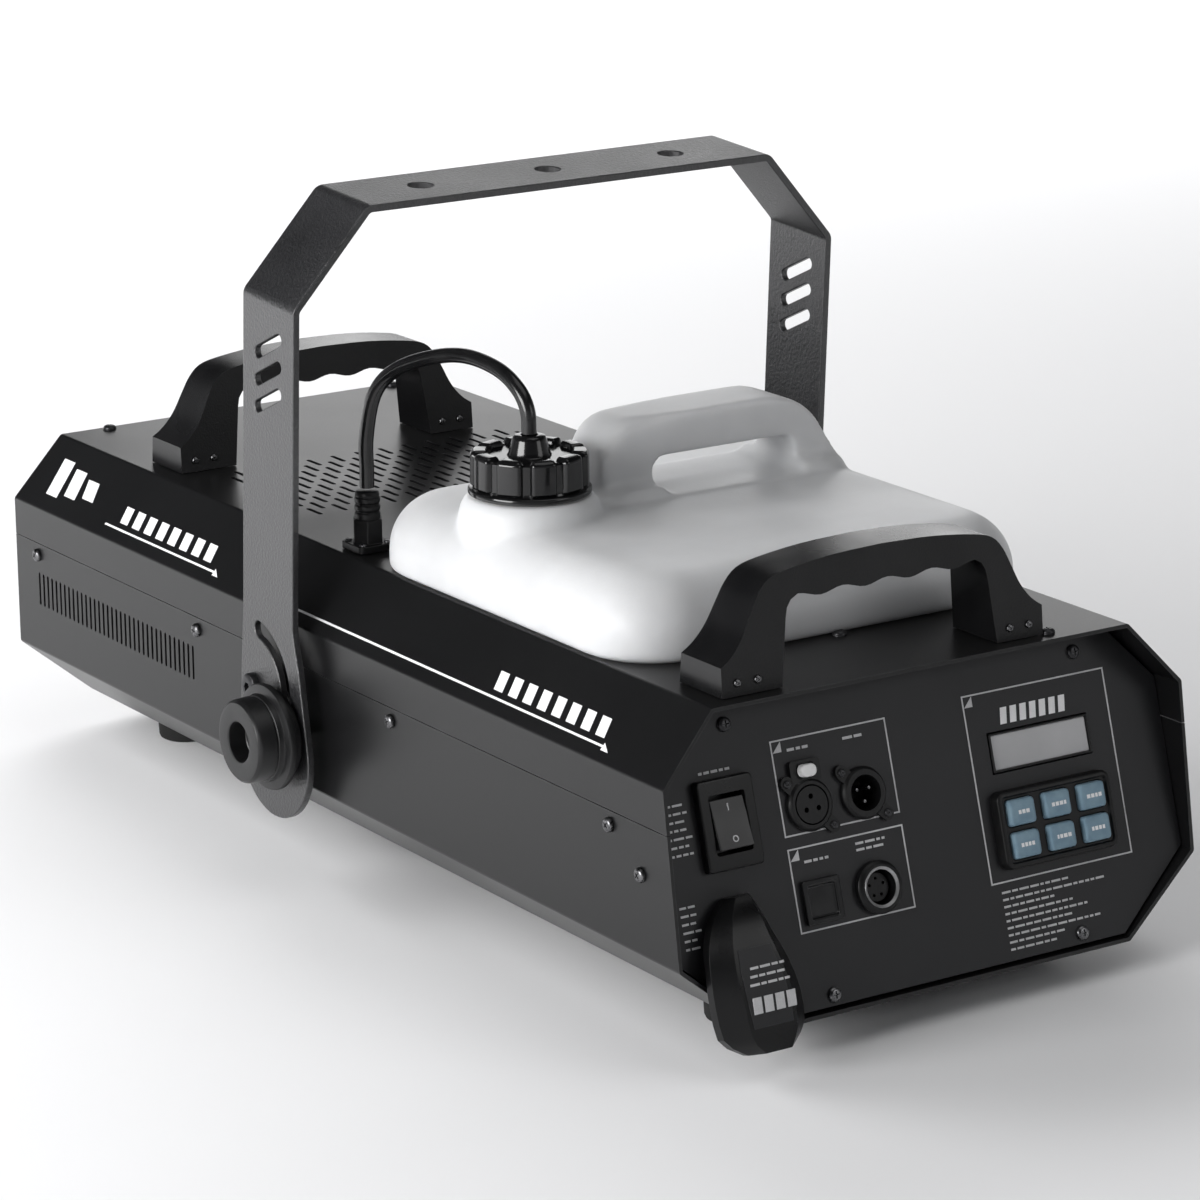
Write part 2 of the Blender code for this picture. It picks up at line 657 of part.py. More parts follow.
def make_yoke():
    pivot = bpy.data.objects.new("yoke_pivot", None)
    pivot.location = (0, PIVOT.x, PIVOT.y)
    pivot.rotation_euler = (YOKE_LEAN, 0, 0)
    bpy.context.scene.collection.objects.link(pivot)
    near = LEG_OFFSET - YOKE_BAR[0] / 2
    far = LEG_OFFSET + YOKE_BAR[0] / 2
    yoke = add_prism("yoke", band_outline(), "Y", near, far, "yoke_steel", pivot)
    for side in (-1, 1):
        low, high = sorted((side * YOKE_HALF, side * (YOKE_HALF - YOKE_BAR[1])))
        outline = [(y, min(z, YOKE_BEND_Z - 0.004)) for y, z in leg_outline()]
        join(yoke, add_prism(f"yoke_leg_{side}", outline, "X", low, high, None, pivot))
    lean = YOKE_LEAN * 180 / pi
    stud_angle = STUD_ANGLE * 180 / pi - lean
    slots = []
    for side in (-1, 1):
        low, high = sorted((side * (YOKE_HALF + 0.004), side * (YOKE_HALF - 0.010)))
        slots.append(prism_mesh(curved_slot_outline(SLOT_R, SLOT_WIDTH, SLOT_SPAN[0],
                                                    stud_angle + SLOT_SPAN[1]), "X", low, high))
        slots.append(turned_mesh(rod_profile(0.0046, low, high), "X", (0, 0, 0), 20))
        for i in range(3):
            first, pitch, length, width = LEG_SLOTS
            outline = slot_outline((LEG_OFFSET, first - pitch * i), length, width, radians(152))
            slots.append(prism_mesh(outline, "X", low, high))
    for i in (-1, 0, 1):
        profile = rod_profile(TOP_HOLES[1], YOKE_TOP_Z - 0.012, YOKE_TOP_Z + 0.008)
        slots.append(turned_mesh(profile, "Z", (TOP_HOLES[0] * i, LEG_OFFSET, 0), 24))
    cut(yoke, merge_meshes("yoke_slots", slots, pivot))
    return yoke


def side_name(side):
    return "left" if side < 0 else "right"


def mirrored(profile, side):
    """A profile measured out from the middle, for the left or the right side."""
    return [(radius, side * height) for radius, height in profile]


def make_yoke_hardware():
    """Pivot bolt, spacer, clamp stud and clamp knob on each side."""
    outside = YOKE_HALF + GAP
    inside = YOKE_HALF - YOKE_BAR[1] - GAP
    for side in (-1, 1):
        name = side_name(side)
        pivot = (0, PIVOT.x, PIVOT.y)
        stud = (0, STUD.x, STUD.y)
        bolt = [(0, HALF_W - 0.010), (0.0040, HALF_W - 0.010), (0.0040, outside)]
        bolt += [(0.0075, outside), (0.0075, outside + 0.0030), (0.0055, outside + 0.0044),
                 (0, outside + 0.0044)]
        add_turned(f"pivot_bolt_{name}", mirrored(bolt, side), "X", pivot, "plain_steel", sides=20)
        spacer = ring_profile(0.0044, 0.0085, HALF_W + GAP, inside)
        add_turned(f"pivot_spacer_{name}", mirrored(spacer, side), "X", pivot, "plain_steel", sides=20)
        rod = rod_profile(0.0040, HALF_W - 0.012, outside + 0.0040)
        add_turned(f"clamp_stud_{name}", mirrored(rod, side), "X", stud, "plain_steel", sides=20)
        make_knob(name, side, outside, stud)


def make_knob(name, side, outside, centre):
    """Stepped clamp knob: wide flange, narrower hub with a deep recess."""
    start = outside + 0.0052
    flange = [(0.0046, outside), (0.0240, outside), (0.0240, start), (0.0280, start),
              (0.0290, start + 0.0010)]
    flange += [(0.0290, start + 0.0040)]
    hub = [(0.0235, start + 0.0055), (0.0228, start + 0.0180), (0.0205, start + 0.0205)]
    recess = [(0.0110, start + 0.0205), (0.0100, start + 0.0100), (0, start + 0.0100),
              (0, outside + 0.0046)]
    recess += [(0.0046, outside + 0.0046)]
    profile = mirrored(flange + hub + recess, side)
    knob = add_turned(f"clamp_knob_{name}", profile, "X", centre, "black_plastic", sides=28)
    return knob


# Control panel, in the panel's own leaning frame: x across, y into the machine, z up the plate

def panel_frame():
    frame = bpy.data.objects.new("panel_frame", None)
    frame.location = (0, REAR_Y + 0.0012, BODY_Z)
    frame.rotation_euler = (-PANEL_LEAN, 0, 0)
    bpy.context.scene.collection.objects.link(frame)
    return frame


def panel_outline():
    """Octagon of the housing's inside, stretched along the leaning plate."""
    inset = SHEET + GAP
    half = HALF_W - inset
    stretch = 1 / cos(PANEL_LEAN)
    low = (inset + 0.0014) * stretch
    high = (HEIGHT - inset - 0.0008) * stretch
    low_side = (LOW_CHAMFER[1] + 0.0022) * stretch
    high_side = (HEIGHT - TOP_CHAMFER[1] - 0.002) * stretch
    right = [(HALF_W - LOW_CHAMFER[0] - 0.0015, low), (half, low_side), (half, high_side)]
    right += [(HALF_W - TOP_CHAMFER[0] - 0.0020, high)]
    return right + [(-x, z) for x, z in reversed(right)]


def make_rear_panel(frame):
    plate = add_prism("rear_panel", panel_outline(), "Y", 0, SHEET, "panel_black", frame)
    cuts = []
    deep = (-0.004, 0.008)
    for centre in (DMX_OUT, DMX_IN, WIRELESS):
        profile = rod_profile(SOCKET_R + GAP, *deep)
        cuts.append(turned_mesh(profile, "Y", (centre[0], 0, centre[1]), 28))
    openings = (
        (SWITCH, 0.0128, 0.0165), (REMOTE, 0.0086, 0.0086), (DISPLAY, 0.0320, 0.0105),
        (KEYPAD, 0.0330, 0.0165), (INLET, 0.0120, 0.0100),
    )
    for centre, half_x, half_z in openings:
        cuts.append(slot_mesh(*centre, half_x + GAP, half_z + GAP, *deep, "Y"))
    cut(plate, merge_meshes("panel_cuts", cuts, frame))
    return plate


def make_socket(name, centre, frame, hollow):
    """Round panel connector with a tall flange: a hollow one takes a plug, the other has holes."""
    x, z = centre
    flange = rounded_rectangle(0.0130, 0.0185, 0.0025, 3, (x, z + 0.0030))
    body = add_prism(name, flange, "Y", -GAP - 0.0020, -GAP, "black_plastic", frame)
    barrel = rod_profile(SOCKET_R, -0.0010, 0.0200)
    join(body, add_turned(name + "_barrel", barrel, "Y", (x, -GAP, z), None, frame, 28))
    mouth = ring_profile(SOCKET_R - 0.0008, SOCKET_R + 0.0004, -0.0035, -0.0010)
    join(body, add_turned(name + "_mouth", mouth, "Y", (x, -GAP, z), None, frame, 28))
    tools = []
    pins = [(0.0042 * cos(radians(angle)), 0.0042 * sin(radians(angle))) for angle in (-150, -30, 90)]
    if hollow:
        tools.append(turned_mesh(rod_profile(0.0088, -0.010, 0.0120), "Y", (x, 0, z), 28))
    else:
        for dx, dz in pins:
            tools.append(turned_mesh(rod_profile(0.0014, -0.010, 0.0100), "Y", (x + dx, 0, z + dz), 10))
        tools.append(slot_mesh(x, z + LATCH_RISE, 0.0050, 0.0036, -0.010, 0.002, "Y"))
    cut(body, merge_meshes(name + "_holes", tools, frame))
    if hollow:
        posts = []
        for dx, dz in pins:
            posts.append(turned_mesh(rod_profile(0.0012, -0.0010, 0.0140), "Y", (x + dx, 0, z + dz), 10))
        join(body, merge_meshes(name + "_pins", posts, frame))
    return body


def make_latch(frame):
    """Push tab above the female connector, in a notch of its flange."""
    x, z = DMX_OUT
    low = (x - 0.0046, -0.0062, z + LATCH_RISE - 0.0032)
    high = (x + 0.0046, -0.0020, z + LATCH_RISE + 0.0032)
    origin = (x, 0, z + LATCH_RISE)
    low = tuple(a - b for a, b in zip(low, origin))
    high = tuple(a - b for a, b in zip(high, origin))
    return add_box("dmx_out_latch", low, high, "display_grey", frame, origin)


def make_remote_socket(frame):
    """Square telephone-style socket with a stepped mouth."""
    x, z = REMOTE
    low = (x - 0.0110, -GAP - 0.0025, z - 0.0110)
    high = (x + 0.0110, -GAP, z + 0.0110)
    socket = add_box("remote_socket", low, high, "black_plastic", frame)
    body = add_box("remote_body", (x - 0.0086, -0.0015, z - 0.0086), (x + 0.0086, 0.016, z + 0.0086),
                   None, frame)
    join(socket, body)
    mouth = add_box("remote_mouth", (x - 0.0058, -0.010, z - 0.0035), (x + 0.0058, 0.012, z + 0.0048),
                    None, frame)
    cut(socket, mouth)
    notch = add_box("remote_notch", (x - 0.0024, -0.010, z - 0.0062), (x + 0.0024, 0.011, z - 0.0030),
                    None, frame)
    cut(socket, notch)
    return socket


def make_wireless_socket(frame):
    """Round multi-pole socket with a bright mouth ring in the middle."""
    x, z = WIRELESS
    profile = [(0, 0.0180), (0.0092, 0.0180), (0.0092, 0.0), (SOCKET_R + 0.0015, 0.0)]
    profile += [(SOCKET_R + 0.0015, -0.0030), (SOCKET_R - 0.0005, -0.0042), (0.0088, -0.0042),
                (0.0084, 0.0060), (0, 0.0060)]
    return add_turned("wireless_socket", list(reversed(profile)), "Y", (x, -GAP, z), "black_plastic",
                      frame, 28)


def make_display(frame):
    x, z = DISPLAY
    low = (x - 0.0315, -0.0010, z - 0.0100)
    high = (x + 0.0315, 0.0090, z + 0.0100)
    return add_box("display_window", low, high, "display_grey", frame)


def key_centres():
    """Six keys, left to right on the upper row and then on the lower."""
    return [(KEYPAD[0] + KEY_PITCH[0] * column, KEYPAD[1] + KEY_PITCH[1] * row / 2)
            for row in (1, -1) for column in (-1, 0, 1)]


def make_keypad(frame):
    """Raised bezel with six wells, and a key in each."""
    outline = rounded_rectangle(0.0365, 0.0200, 0.005, 3, KEYPAD)
    bezel = add_prism("keypad_bezel", outline, "Y", -0.0062, -GAP, "black_plastic", frame)
    bevel(bezel, 0.0012, 1, 50)
    half = (KEY_SIZE[0] / 2, KEY_SIZE[1] / 2)
    wells = [slot_mesh(*centre, half[0] + GAP, half[1] + GAP, -0.010, -0.0026, "Y")
             for centre in key_centres()]
    cut(bezel, merge_meshes("keypad_wells", wells, frame))
    for index, (x, z) in enumerate(key_centres(), 1):
        origin = (x, -0.0050, z)
        outline = rounded_rectangle(half[0], half[1], 0.0015, 2)
        add_prism(f"key_{index}", outline, "Y", -0.0030, 0.0010, "key_blue", frame, origin)


def make_switch(frame):
    """Rocker switch: bezel with a hood lip and a rocker on a cross pin."""
    x, z = SWITCH
    low = (x - 0.0165, -0.0050, z - 0.0225)
    high = (x + 0.0165, -GAP, z + 0.0225)
    bezel = add_box("switch_bezel", low, high, "black_plastic", frame)
    bevel(bezel, 0.0012, 1, 50)
    low = (x - 0.0128, -0.0010, z - 0.0165)
    high = (x + 0.0128, 0.0260, z + 0.0165)
    join(bezel, add_box("switch_body", low, high, None, frame))
    cut(bezel, add_box("switch_well", (x - 0.0106, -0.0120, z - 0.0146), (x + 0.0106, 0.0080, z + 0.0146),
                       None, frame))
    origin = (x, -0.0002, z)
    half = 0.0124
    outline = [(-0.0075, -half), (-0.0052, 0.0), (-0.0035, half), (0.0010, 0.0110), (0.0010, -0.0110)]
    rocker = add_prism("power_rocker", outline, "X", -0.0100, 0.0100, "black_plastic", frame, origin)
    return bezel, rocker


def make_inlet_hood(frame):
    """Cord hood over the mains inlet. It stands clear of the shell's rear edge on a narrower base."""
    front = -0.0024
    # height, left, right, depth and how far the left edge clears the shell
    levels = (
        (-0.0080, -0.1300, -0.1030, 0.0128, 0.0010), (0.0020, -0.1430, -0.0950, 0.0156, 0.0010),
        (0.0180, -0.1460, -0.0950, 0.0170, 0.0034), (0.0340, -0.1465, -0.0990, 0.0168, 0.0054),
        (0.0480, -0.1430, -0.1050, 0.0155, 0.0020), (0.0600, -0.1360, -0.1095, 0.0125, 0.0),
        (0.0680, -0.1270, -0.1130, 0.0080, 0.0),
    )
    rings = []
    for z, left, right, depth, clear in levels:
        slope = 0.22 * (right - left)
        ring = [(left, -clear), (left, -0.4 * depth - 0.6 * clear), (left + slope, -depth),
                (right - slope, -depth)]
        ring += [(right, -0.4 * depth), (right, 0)]
        rings.append([(x, front + y, z) for x, y in ring])
    hood = finish_mesh("inlet_hood", loft_mesh(rings), "black_plastic", frame)
    bevel(hood, 0.0018, 1, 25)
    base = [(-0.1150, 0.0070), (-0.1010, 0.0070), (-0.1080, 0.0480), (-0.1160, 0.0640)]
    base += [(-0.1240, 0.0640), (-0.1340, 0.0480), (-0.1330, 0.0260)]
    join(hood, add_prism("inlet_base", base, "Y", front - 0.003, -GAP, None, frame))
    low = (INLET[0] - 0.0115, -0.0064, INLET[1] - 0.0095)
    high = (INLET[0] + 0.0115, 0.0200, INLET[1] + 0.0095)
    join(hood, add_box("inlet_boss", low, high, None, frame))
    entry = add_box("inlet_entry", (-0.1240, -0.0125, -0.0200), (-0.1090, -0.0050, 0.0160), None, frame)
    cut(hood, entry)
    return hood


# Inner works

def make_heater():
    """Cast heater block in a fibre jacket, with the nozzle screwed into its front."""
    low = (-HEATER_HALF, HEATER_Y[0], NOZZLE_Z - HEATER_HALF)
    high = (HEATER_HALF, HEATER_Y[1], NOZZLE_Z + HEATER_HALF)
    block = add_box("heater_block", low, high, "aluminium")
    bevel(block, 0.004, 1, 50)
    outer = HEATER_HALF + 0.0120
    inner = HEATER_HALF + GAP
    low, high = HEATER_Y[0] + 0.006, HEATER_Y[1] - 0.006
    jacket = add_box("heater_jacket", (-outer, low, NOZZLE_Z - outer), (outer, high, NOZZLE_Z + outer),
                     "white_wrap")
    cut(jacket, add_box("jacket_hollow", (-inner, low - 0.01, NOZZLE_Z - inner),
                        (inner, high + 0.01, NOZZLE_Z + inner)))
    start = HEATER_Y[1] + GAP
    tip = FRONT_Y + RING_STANDOFF - 0.004
    nozzle = [(0.0035, start), (0.0150, start), (0.0150, start + 0.012), (0.0100, start + 0.016),
              (0.0100, tip - 0.006)]
    nozzle += [(0.0070, tip), (0.0035, tip)]
    add_turned("nozzle", nozzle, "Y", (0, 0, NOZZLE_Z), "brass", sides=24)
    guard = ring_profile(0.0200, 0.0300, FRONT_Y - 0.003 + GAP, FRONT_Y + RING_STANDOFF)
    add_turned("nozzle_ring", guard, "Y", (0, 0, NOZZLE_Z), "black_steel", sides=32)


def make_pump():
    """Small oscillating pump on an angle bracket, and its feed tube to the heater."""
    floor = FLOOR_Z
    bracket = [(-0.060, floor), (0.060, floor), (0.060, floor + 0.002), (-0.058, floor + 0.002),
               (-0.058, floor + 0.034), (-0.060, floor + 0.034)]
    bracket = [(y + 0.055, z) for y, z in bracket]
    add_prism("pump_bracket", bracket, "X", -0.030, 0.030, "plain_steel")
    axis_z = floor + 0.0240
    profile = [(0, 0.005), (0.0080, 0.005), (0.0080, 0.014), (0.0200, 0.014), (0.0200, 0.070),
               (0.0080, 0.070), (0.0080, 0.082), (0, 0.082)]
    add_turned("pump_body", profile, "Y", (0, 0, axis_z), "brass", sides=24)
    route = [(0, 0.0832, axis_z), (0, 0.0900, axis_z + 0.001), (0, 0.1000, axis_z + 0.018),
             (0, 0.1060, axis_z + 0.034), (0, HEATER_Y[0] - 0.008, NOZZLE_Z),
             (0, HEATER_Y[0] - 0.0015, NOZZLE_Z)]
    add_tube("feed_tube", route, 0.0030, "clear_tube", 3, 2)


def make_electrics():
    floor = FLOOR_Z
    board_top = floor + 0.0090
    board = add_box("circuit_board", (0.0150, -0.270, board_top - 0.0016), (0.1050, -0.140, board_top),
                    "circuit_green")
    blocks = (((0.030, -0.255, 0), (0.052, -0.235, 0.018)), ((0.062, -0.250, 0), (0.078, -0.226, 0.026)),
              ((0.034, -0.205, 0), (0.060, -0.180, 0.012)), ((0.075, -0.200, 0), (0.098, -0.160, 0.015)))
    for index, (low, high) in enumerate(blocks):
        low = (low[0], low[1], board_top - 0.0008)
        high = (high[0], high[1], board_top + high[2])
        join(board, add_box(f"board_part_{index}", low, high))
    for index, (x, y) in enumerate(((0.020, -0.265), (0.100, -0.265), (0.020, -0.145), (0.100, -0.145))):
        join(board, add_rod(f"board_post_{index}", 0.0030, "Z", (x, y, 0), floor, board_top - 0.0008,
                            sides=10))
    core = add_box("transformer", (-0.0800, -0.1900, floor), (-0.0300, -0.1300, floor + 0.0420),
                   "plain_steel")
    coil = add_box("transformer_coil", (-0.0740, -0.1980, floor + 0.0080),
                   (-0.0360, -0.1220, floor + 0.0340))
    join(core, coil)


def make_feet():
    index = 0
    for y in (-0.285, 0.285):
        for x in (-0.085, 0.085):
            index += 1
            profile = [(0, 0), (0.0150, 0), (0.0165, 0.0020), (0.0175, BODY_Z - GAP), (0.0, BODY_Z - GAP)]
            add_turned(f"foot_{index}", profile, "Z", (x, y, 0), "rubber", sides=24)


def make_screws():
    """Pan-head screws that hold the cover's lower edge to the tray."""
    for side in (-1, 1):
        for index, (y, z) in enumerate(SIDE_SCREWS, 1):
            face = HALF_W + GAP
            head = [(0, HALF_W - 0.0060), (0.0018, HALF_W - 0.0060), (0.0018, face), (0.0038, face),
                    (0.0036, face + 0.0014)]
            head += [(0.0022, face + 0.0023), (0, face + 0.0023)]
            name = f"side_screw_{side_name(side)}_{index}"
            add_turned(name, mirrored(head, side), "X", (0, y, BODY_Z + z), "bright_steel", sides=14)


def main():
    clear_scene()
    make_bottom_tray()
    make_top_cover()
    make_front_panel()
    make_tank_well()
    make_tank()
    make_tank_cap()
    make_pickup()
    make_hose_fitting()
    make_hose()
    make_handle("handle_rear", REAR_HANDLE_Y)
    make_handle("handle_front", FRONT_HANDLE_Y)
    make_yoke()
    make_yoke_hardware()
    frame = panel_frame()
    make_rear_panel(frame)
    make_socket("dmx_out_socket", DMX_OUT, frame, False)
    make_socket("dmx_in_socket", DMX_IN, frame, True)
    make_latch(frame)
    make_remote_socket(frame)
    make_wireless_socket(frame)
    make_display(frame)
    make_keypad(frame)
    make_switch(frame)
    make_inlet_hood(frame)
    make_heater()
    make_pump()
    make_electrics()
    make_feet()
    make_screws()


main()
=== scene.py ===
# Stage fog machine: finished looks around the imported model.
# Metres, Z up, X across, Y along the machine. The control panel is at the -Y end.
import math
import random
from math import cos, pi, radians, sin

import bmesh
import bpy
from mathutils import Matrix, Vector


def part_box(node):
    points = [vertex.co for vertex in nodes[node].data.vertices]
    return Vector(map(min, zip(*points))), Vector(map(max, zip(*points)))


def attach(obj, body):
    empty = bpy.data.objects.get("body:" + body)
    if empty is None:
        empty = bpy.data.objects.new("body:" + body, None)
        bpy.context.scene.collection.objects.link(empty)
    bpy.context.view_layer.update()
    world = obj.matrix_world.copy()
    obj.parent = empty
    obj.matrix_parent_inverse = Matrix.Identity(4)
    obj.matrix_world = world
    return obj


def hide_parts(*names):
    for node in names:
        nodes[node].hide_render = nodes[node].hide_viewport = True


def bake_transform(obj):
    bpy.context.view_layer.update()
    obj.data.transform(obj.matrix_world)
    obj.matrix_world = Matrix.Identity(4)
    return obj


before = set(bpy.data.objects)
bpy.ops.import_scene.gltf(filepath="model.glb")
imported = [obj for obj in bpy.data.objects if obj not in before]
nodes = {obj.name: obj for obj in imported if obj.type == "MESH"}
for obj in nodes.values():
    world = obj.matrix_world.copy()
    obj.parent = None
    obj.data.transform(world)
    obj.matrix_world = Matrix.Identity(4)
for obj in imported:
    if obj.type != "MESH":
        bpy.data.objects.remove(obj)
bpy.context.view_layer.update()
random.seed(11)

housing = {
    "halfWidth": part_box("top_cover")[1][0],
    "deck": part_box("top_cover")[1][2],
    "floor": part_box("bottom_tray")[0][2],
    "rear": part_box("bottom_tray")[0][1],
    "front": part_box("bottom_tray")[1][1],
    "topChamfer": (0.032, 0.034),
    "lowChamfer": (0.046, 0.038),
    "seam": 0.104,
    "lean": 0.0245,
    "sheet": 0.002,
    "bendRadius": 0.0028,
    "clearance": 0.0004,
}
deck = housing["deck"]
ground = housing["floor"]
gap = housing["clearance"]


# Camera and light

cameraSetup = {
    "azimuth": -33.3688, "elevation": 15.7378, "roll": 0.4553,
    "place": (-1.3356, -2.0617, 0.8286),
    "lens": 139.364, "sensor": 36.0, "shift": (0.00126, -0.00097),
}


def makeCamera(setup):
    azimuth, elevation, roll = (radians(setup[key]) for key in ("azimuth", "elevation", "roll"))
    back = Vector((sin(azimuth) * cos(elevation), -cos(azimuth) * cos(elevation), sin(elevation)))
    level = Vector((cos(azimuth), sin(azimuth), 0))
    upright = back.cross(level)
    right = level * cos(roll) - upright * sin(roll)
    up = upright * cos(roll) + level * sin(roll)
    data = bpy.data.cameras.new("studioCamera")
    data.lens = setup["lens"]
    data.sensor_width = setup["sensor"]
    data.shift_x, data.shift_y = setup["shift"]
    data.clip_start = 0.05
    camera = bpy.data.objects.new("studioCamera", data)
    bpy.context.scene.collection.objects.link(camera)
    turned = Matrix((right, up, back)).transposed().to_4x4()
    camera.matrix_world = Matrix.Translation(setup["place"]) @ turned
    bpy.context.scene.camera = camera


studio = {
    "floorColour": (0.90, 0.90, 0.91), "floorGloss": (0.9, 0.1), "floorSize": 14.0,
    "skyLow": (0.84, 0.85, 0.87), "skyHigh": (0.045, 0.047, 0.050), "skyRange": (0.04, 0.40),
    "skyStrength": 0.50,
    "lamps": {
        "keyLamp": {"place": (-2.4, -0.35, 0.85), "aim": (0, -0.1, 0.15), "size": (1.6, 0.9), "power": 58},
        "topLamp": {"place": (0.4, -0.8, 2.9), "aim": (0, 0, 0), "size": (2.2, 2.2), "power": 14},
        "rightLamp": {"place": (1.9, 2.6, 0.95), "aim": (0, 0, 0.15), "size": (1.6, 0.9), "power": 8},
        "frontLamp": {"place": (1.3, -2.4, 1.1), "aim": (0, -0.3, 0.1), "size": (1.2, 1.0), "power": 7},
        "farLamp": {"place": (2.4, 3.9, 2.9), "aim": (2.4, 3.9, 0), "size": (4.5, 3.5), "power": 200,
                    "floorOnly": True},
        "leftFloorLamp": {"place": (-1.9, 1.9, 1.6), "aim": (-1.9, 1.9, 0), "size": (2.0, 2.0), "power": 85,
                          "floorOnly": True},
    },
}


def makeStudio(setup):
    bm = bmesh.new()
    half = setup["floorSize"] / 2
    bm.faces.new([bm.verts.new((x, y, 0)) for x,
                  y in ((-half, -half), (half, -half), (half, half), (-half, half))])
    mesh = bpy.data.meshes.new("studioFloor")
    bm.to_mesh(mesh)
    bm.free()
    paper = bpy.data.materials.new("paperFloor")
    paper.use_nodes = True
    shader = paper.node_tree.nodes["Principled BSDF"]
    shader.inputs["Base Color"].default_value = (*setup["floorColour"], 1)
    roughness, specular = setup["floorGloss"]
    shader.inputs["Roughness"].default_value = roughness
    shader.inputs["Specular IOR Level"].default_value = specular
    mesh.materials.append(paper)
    floor = bpy.data.objects.new("studioFloor", mesh)
    bpy.context.scene.collection.objects.link(floor)
    for name, lamp in setup["lamps"].items():
        data = bpy.data.lights.new(name, "AREA")
        data.shape = "RECTANGLE"
        data.size, data.size_y = lamp["size"]
        data.energy = lamp["power"]
        light = bpy.data.objects.new(name, data)
        light.location = lamp["place"]
        light.visible_glossy = not lamp.get("floorOnly", False)
        toward = Vector(lamp["aim"]) - Vector(lamp["place"])
        light.rotation_euler = toward.to_track_quat("-Z", "Y").to_euler()
        bpy.context.scene.collection.objects.link(light)
    world = bpy.data.worlds.new("studioWorld")
    world.use_nodes = True
    tree = world.node_tree
    background = tree.nodes["Background"]
    background.inputs["Strength"].default_value = setup["skyStrength"]
    coordinates = tree.nodes.new("ShaderNodeTexCoord")
    split = tree.nodes.new("ShaderNodeSeparateXYZ")
    ramp = tree.nodes.new("ShaderNodeValToRGB")
    for element, key, position in zip(ramp.color_ramp.elements, ("skyLow", "skyHigh"), setup["skyRange"]):
        element.position = position
        element.color = (*setup[key], 1)
    tree.links.new(coordinates.outputs["Generated"], split.inputs[0])
    tree.links.new(split.outputs["Z"], ramp.inputs["Fac"])
    tree.links.new(ramp.outputs["Color"], background.inputs["Color"])
    bpy.context.scene.world = world
    bpy.context.scene.view_settings.view_transform = "Standard"


makeCamera(cameraSetup)
makeStudio(studio)
print("camera and studio ready")


# Surface effects shared by several finishes, each built once as a node group

def startGroup(name, inputs, outputs):
    tree = bpy.data.node_groups.new(name, "ShaderNodeTree")
    for label, value in inputs.items():
        tree.interface.new_socket(label, in_out="INPUT", socket_type="NodeSocketFloat").default_value = value
    for label in outputs:
        tree.interface.new_socket(label, in_out="OUTPUT", socket_type="NodeSocketFloat")
    return tree, tree.nodes.new("NodeGroupInput"), tree.nodes.new("NodeGroupOutput")


def addMath(tree, operation, first, second=None):
    node = tree.nodes.new("ShaderNodeMath")
    node.operation = operation
    for index, value in enumerate((first, second)):
        if value is None:
            continue
        if isinstance(value, (int, float)):
            node.inputs[index].default_value = value
        else:
            tree.links.new(value, node.inputs[index])
    return node.outputs[0]


def addRange(tree, value, low, high, newLow=0.0, newHigh=1.0):
    node = tree.nodes.new("ShaderNodeMapRange")
    tree.links.new(value, node.inputs["Value"])
    for label, number in (("From Min", low), ("From Max", high), ("To Min", newLow), ("To Max", newHigh)):
        node.inputs[label].default_value = number
    return node.outputs["Result"]


def addNoise(tree, place, scale, detail=2.0, roughness=0.5):
    node = tree.nodes.new("ShaderNodeTexNoise")
    tree.links.new(place, node.inputs["Vector"])
    if isinstance(scale, (int, float)):
        node.inputs["Scale"].default_value = scale
    else:
        tree.links.new(scale, node.inputs["Scale"])
    node.inputs["Detail"].default_value = detail
    node.inputs["Roughness"].default_value = roughness
    return node.outputs["Fac"]


def makePowderCoat():
    # fine pebbled paint: Height for bump, Tone for slow colour drift
    tree, given, out = startGroup("powderCoat", {"Pebbles": 900.0, "Drift": 14.0}, ("Height", "Tone"))
    place = tree.nodes.new("ShaderNodeTexCoord").outputs["Object"]
    fine = addNoise(tree, place, given.outputs["Pebbles"], 3.0, 0.55)
    pebble = addRange(tree, fine, 0.36, 0.66)
    drift = addNoise(tree, place, given.outputs["Drift"], 4.0, 0.6)
    mixed = addMath(tree, "MULTIPLY", addRange(tree, drift, 0.3, 0.7), 0.6)
    speckle = addMath(tree, "MULTIPLY", pebble, 0.4)
    tree.links.new(pebble, out.inputs["Height"])
    tree.links.new(addMath(tree, "ADD", mixed, speckle), out.inputs["Tone"])
    return tree


def makeMouldGrain():
    # spark-eroded mould texture with faint flow marks
    tree, given, out = startGroup("mouldGrain", {"Cells": 1400.0, "Flow": 30.0}, ("Height", "Tone"))
    place = tree.nodes.new("ShaderNodeTexCoord").outputs["Object"]
    cells = tree.nodes.new("ShaderNodeTexVoronoi")
    tree.links.new(place, cells.inputs["Vector"])
    tree.links.new(given.outputs["Cells"], cells.inputs["Scale"])
    flow = addNoise(tree, place, given.outputs["Flow"], 3.0, 0.5)
    height = addMath(tree, "ADD", addMath(tree, "MULTIPLY", cells.outputs["Distance"], 0.7),
                     addMath(tree, "MULTIPLY", flow, 0.5))
    tree.links.new(height, out.inputs["Height"])
    tree.links.new(addRange(tree, flow, 0.32, 0.68), out.inputs["Tone"])
    return tree


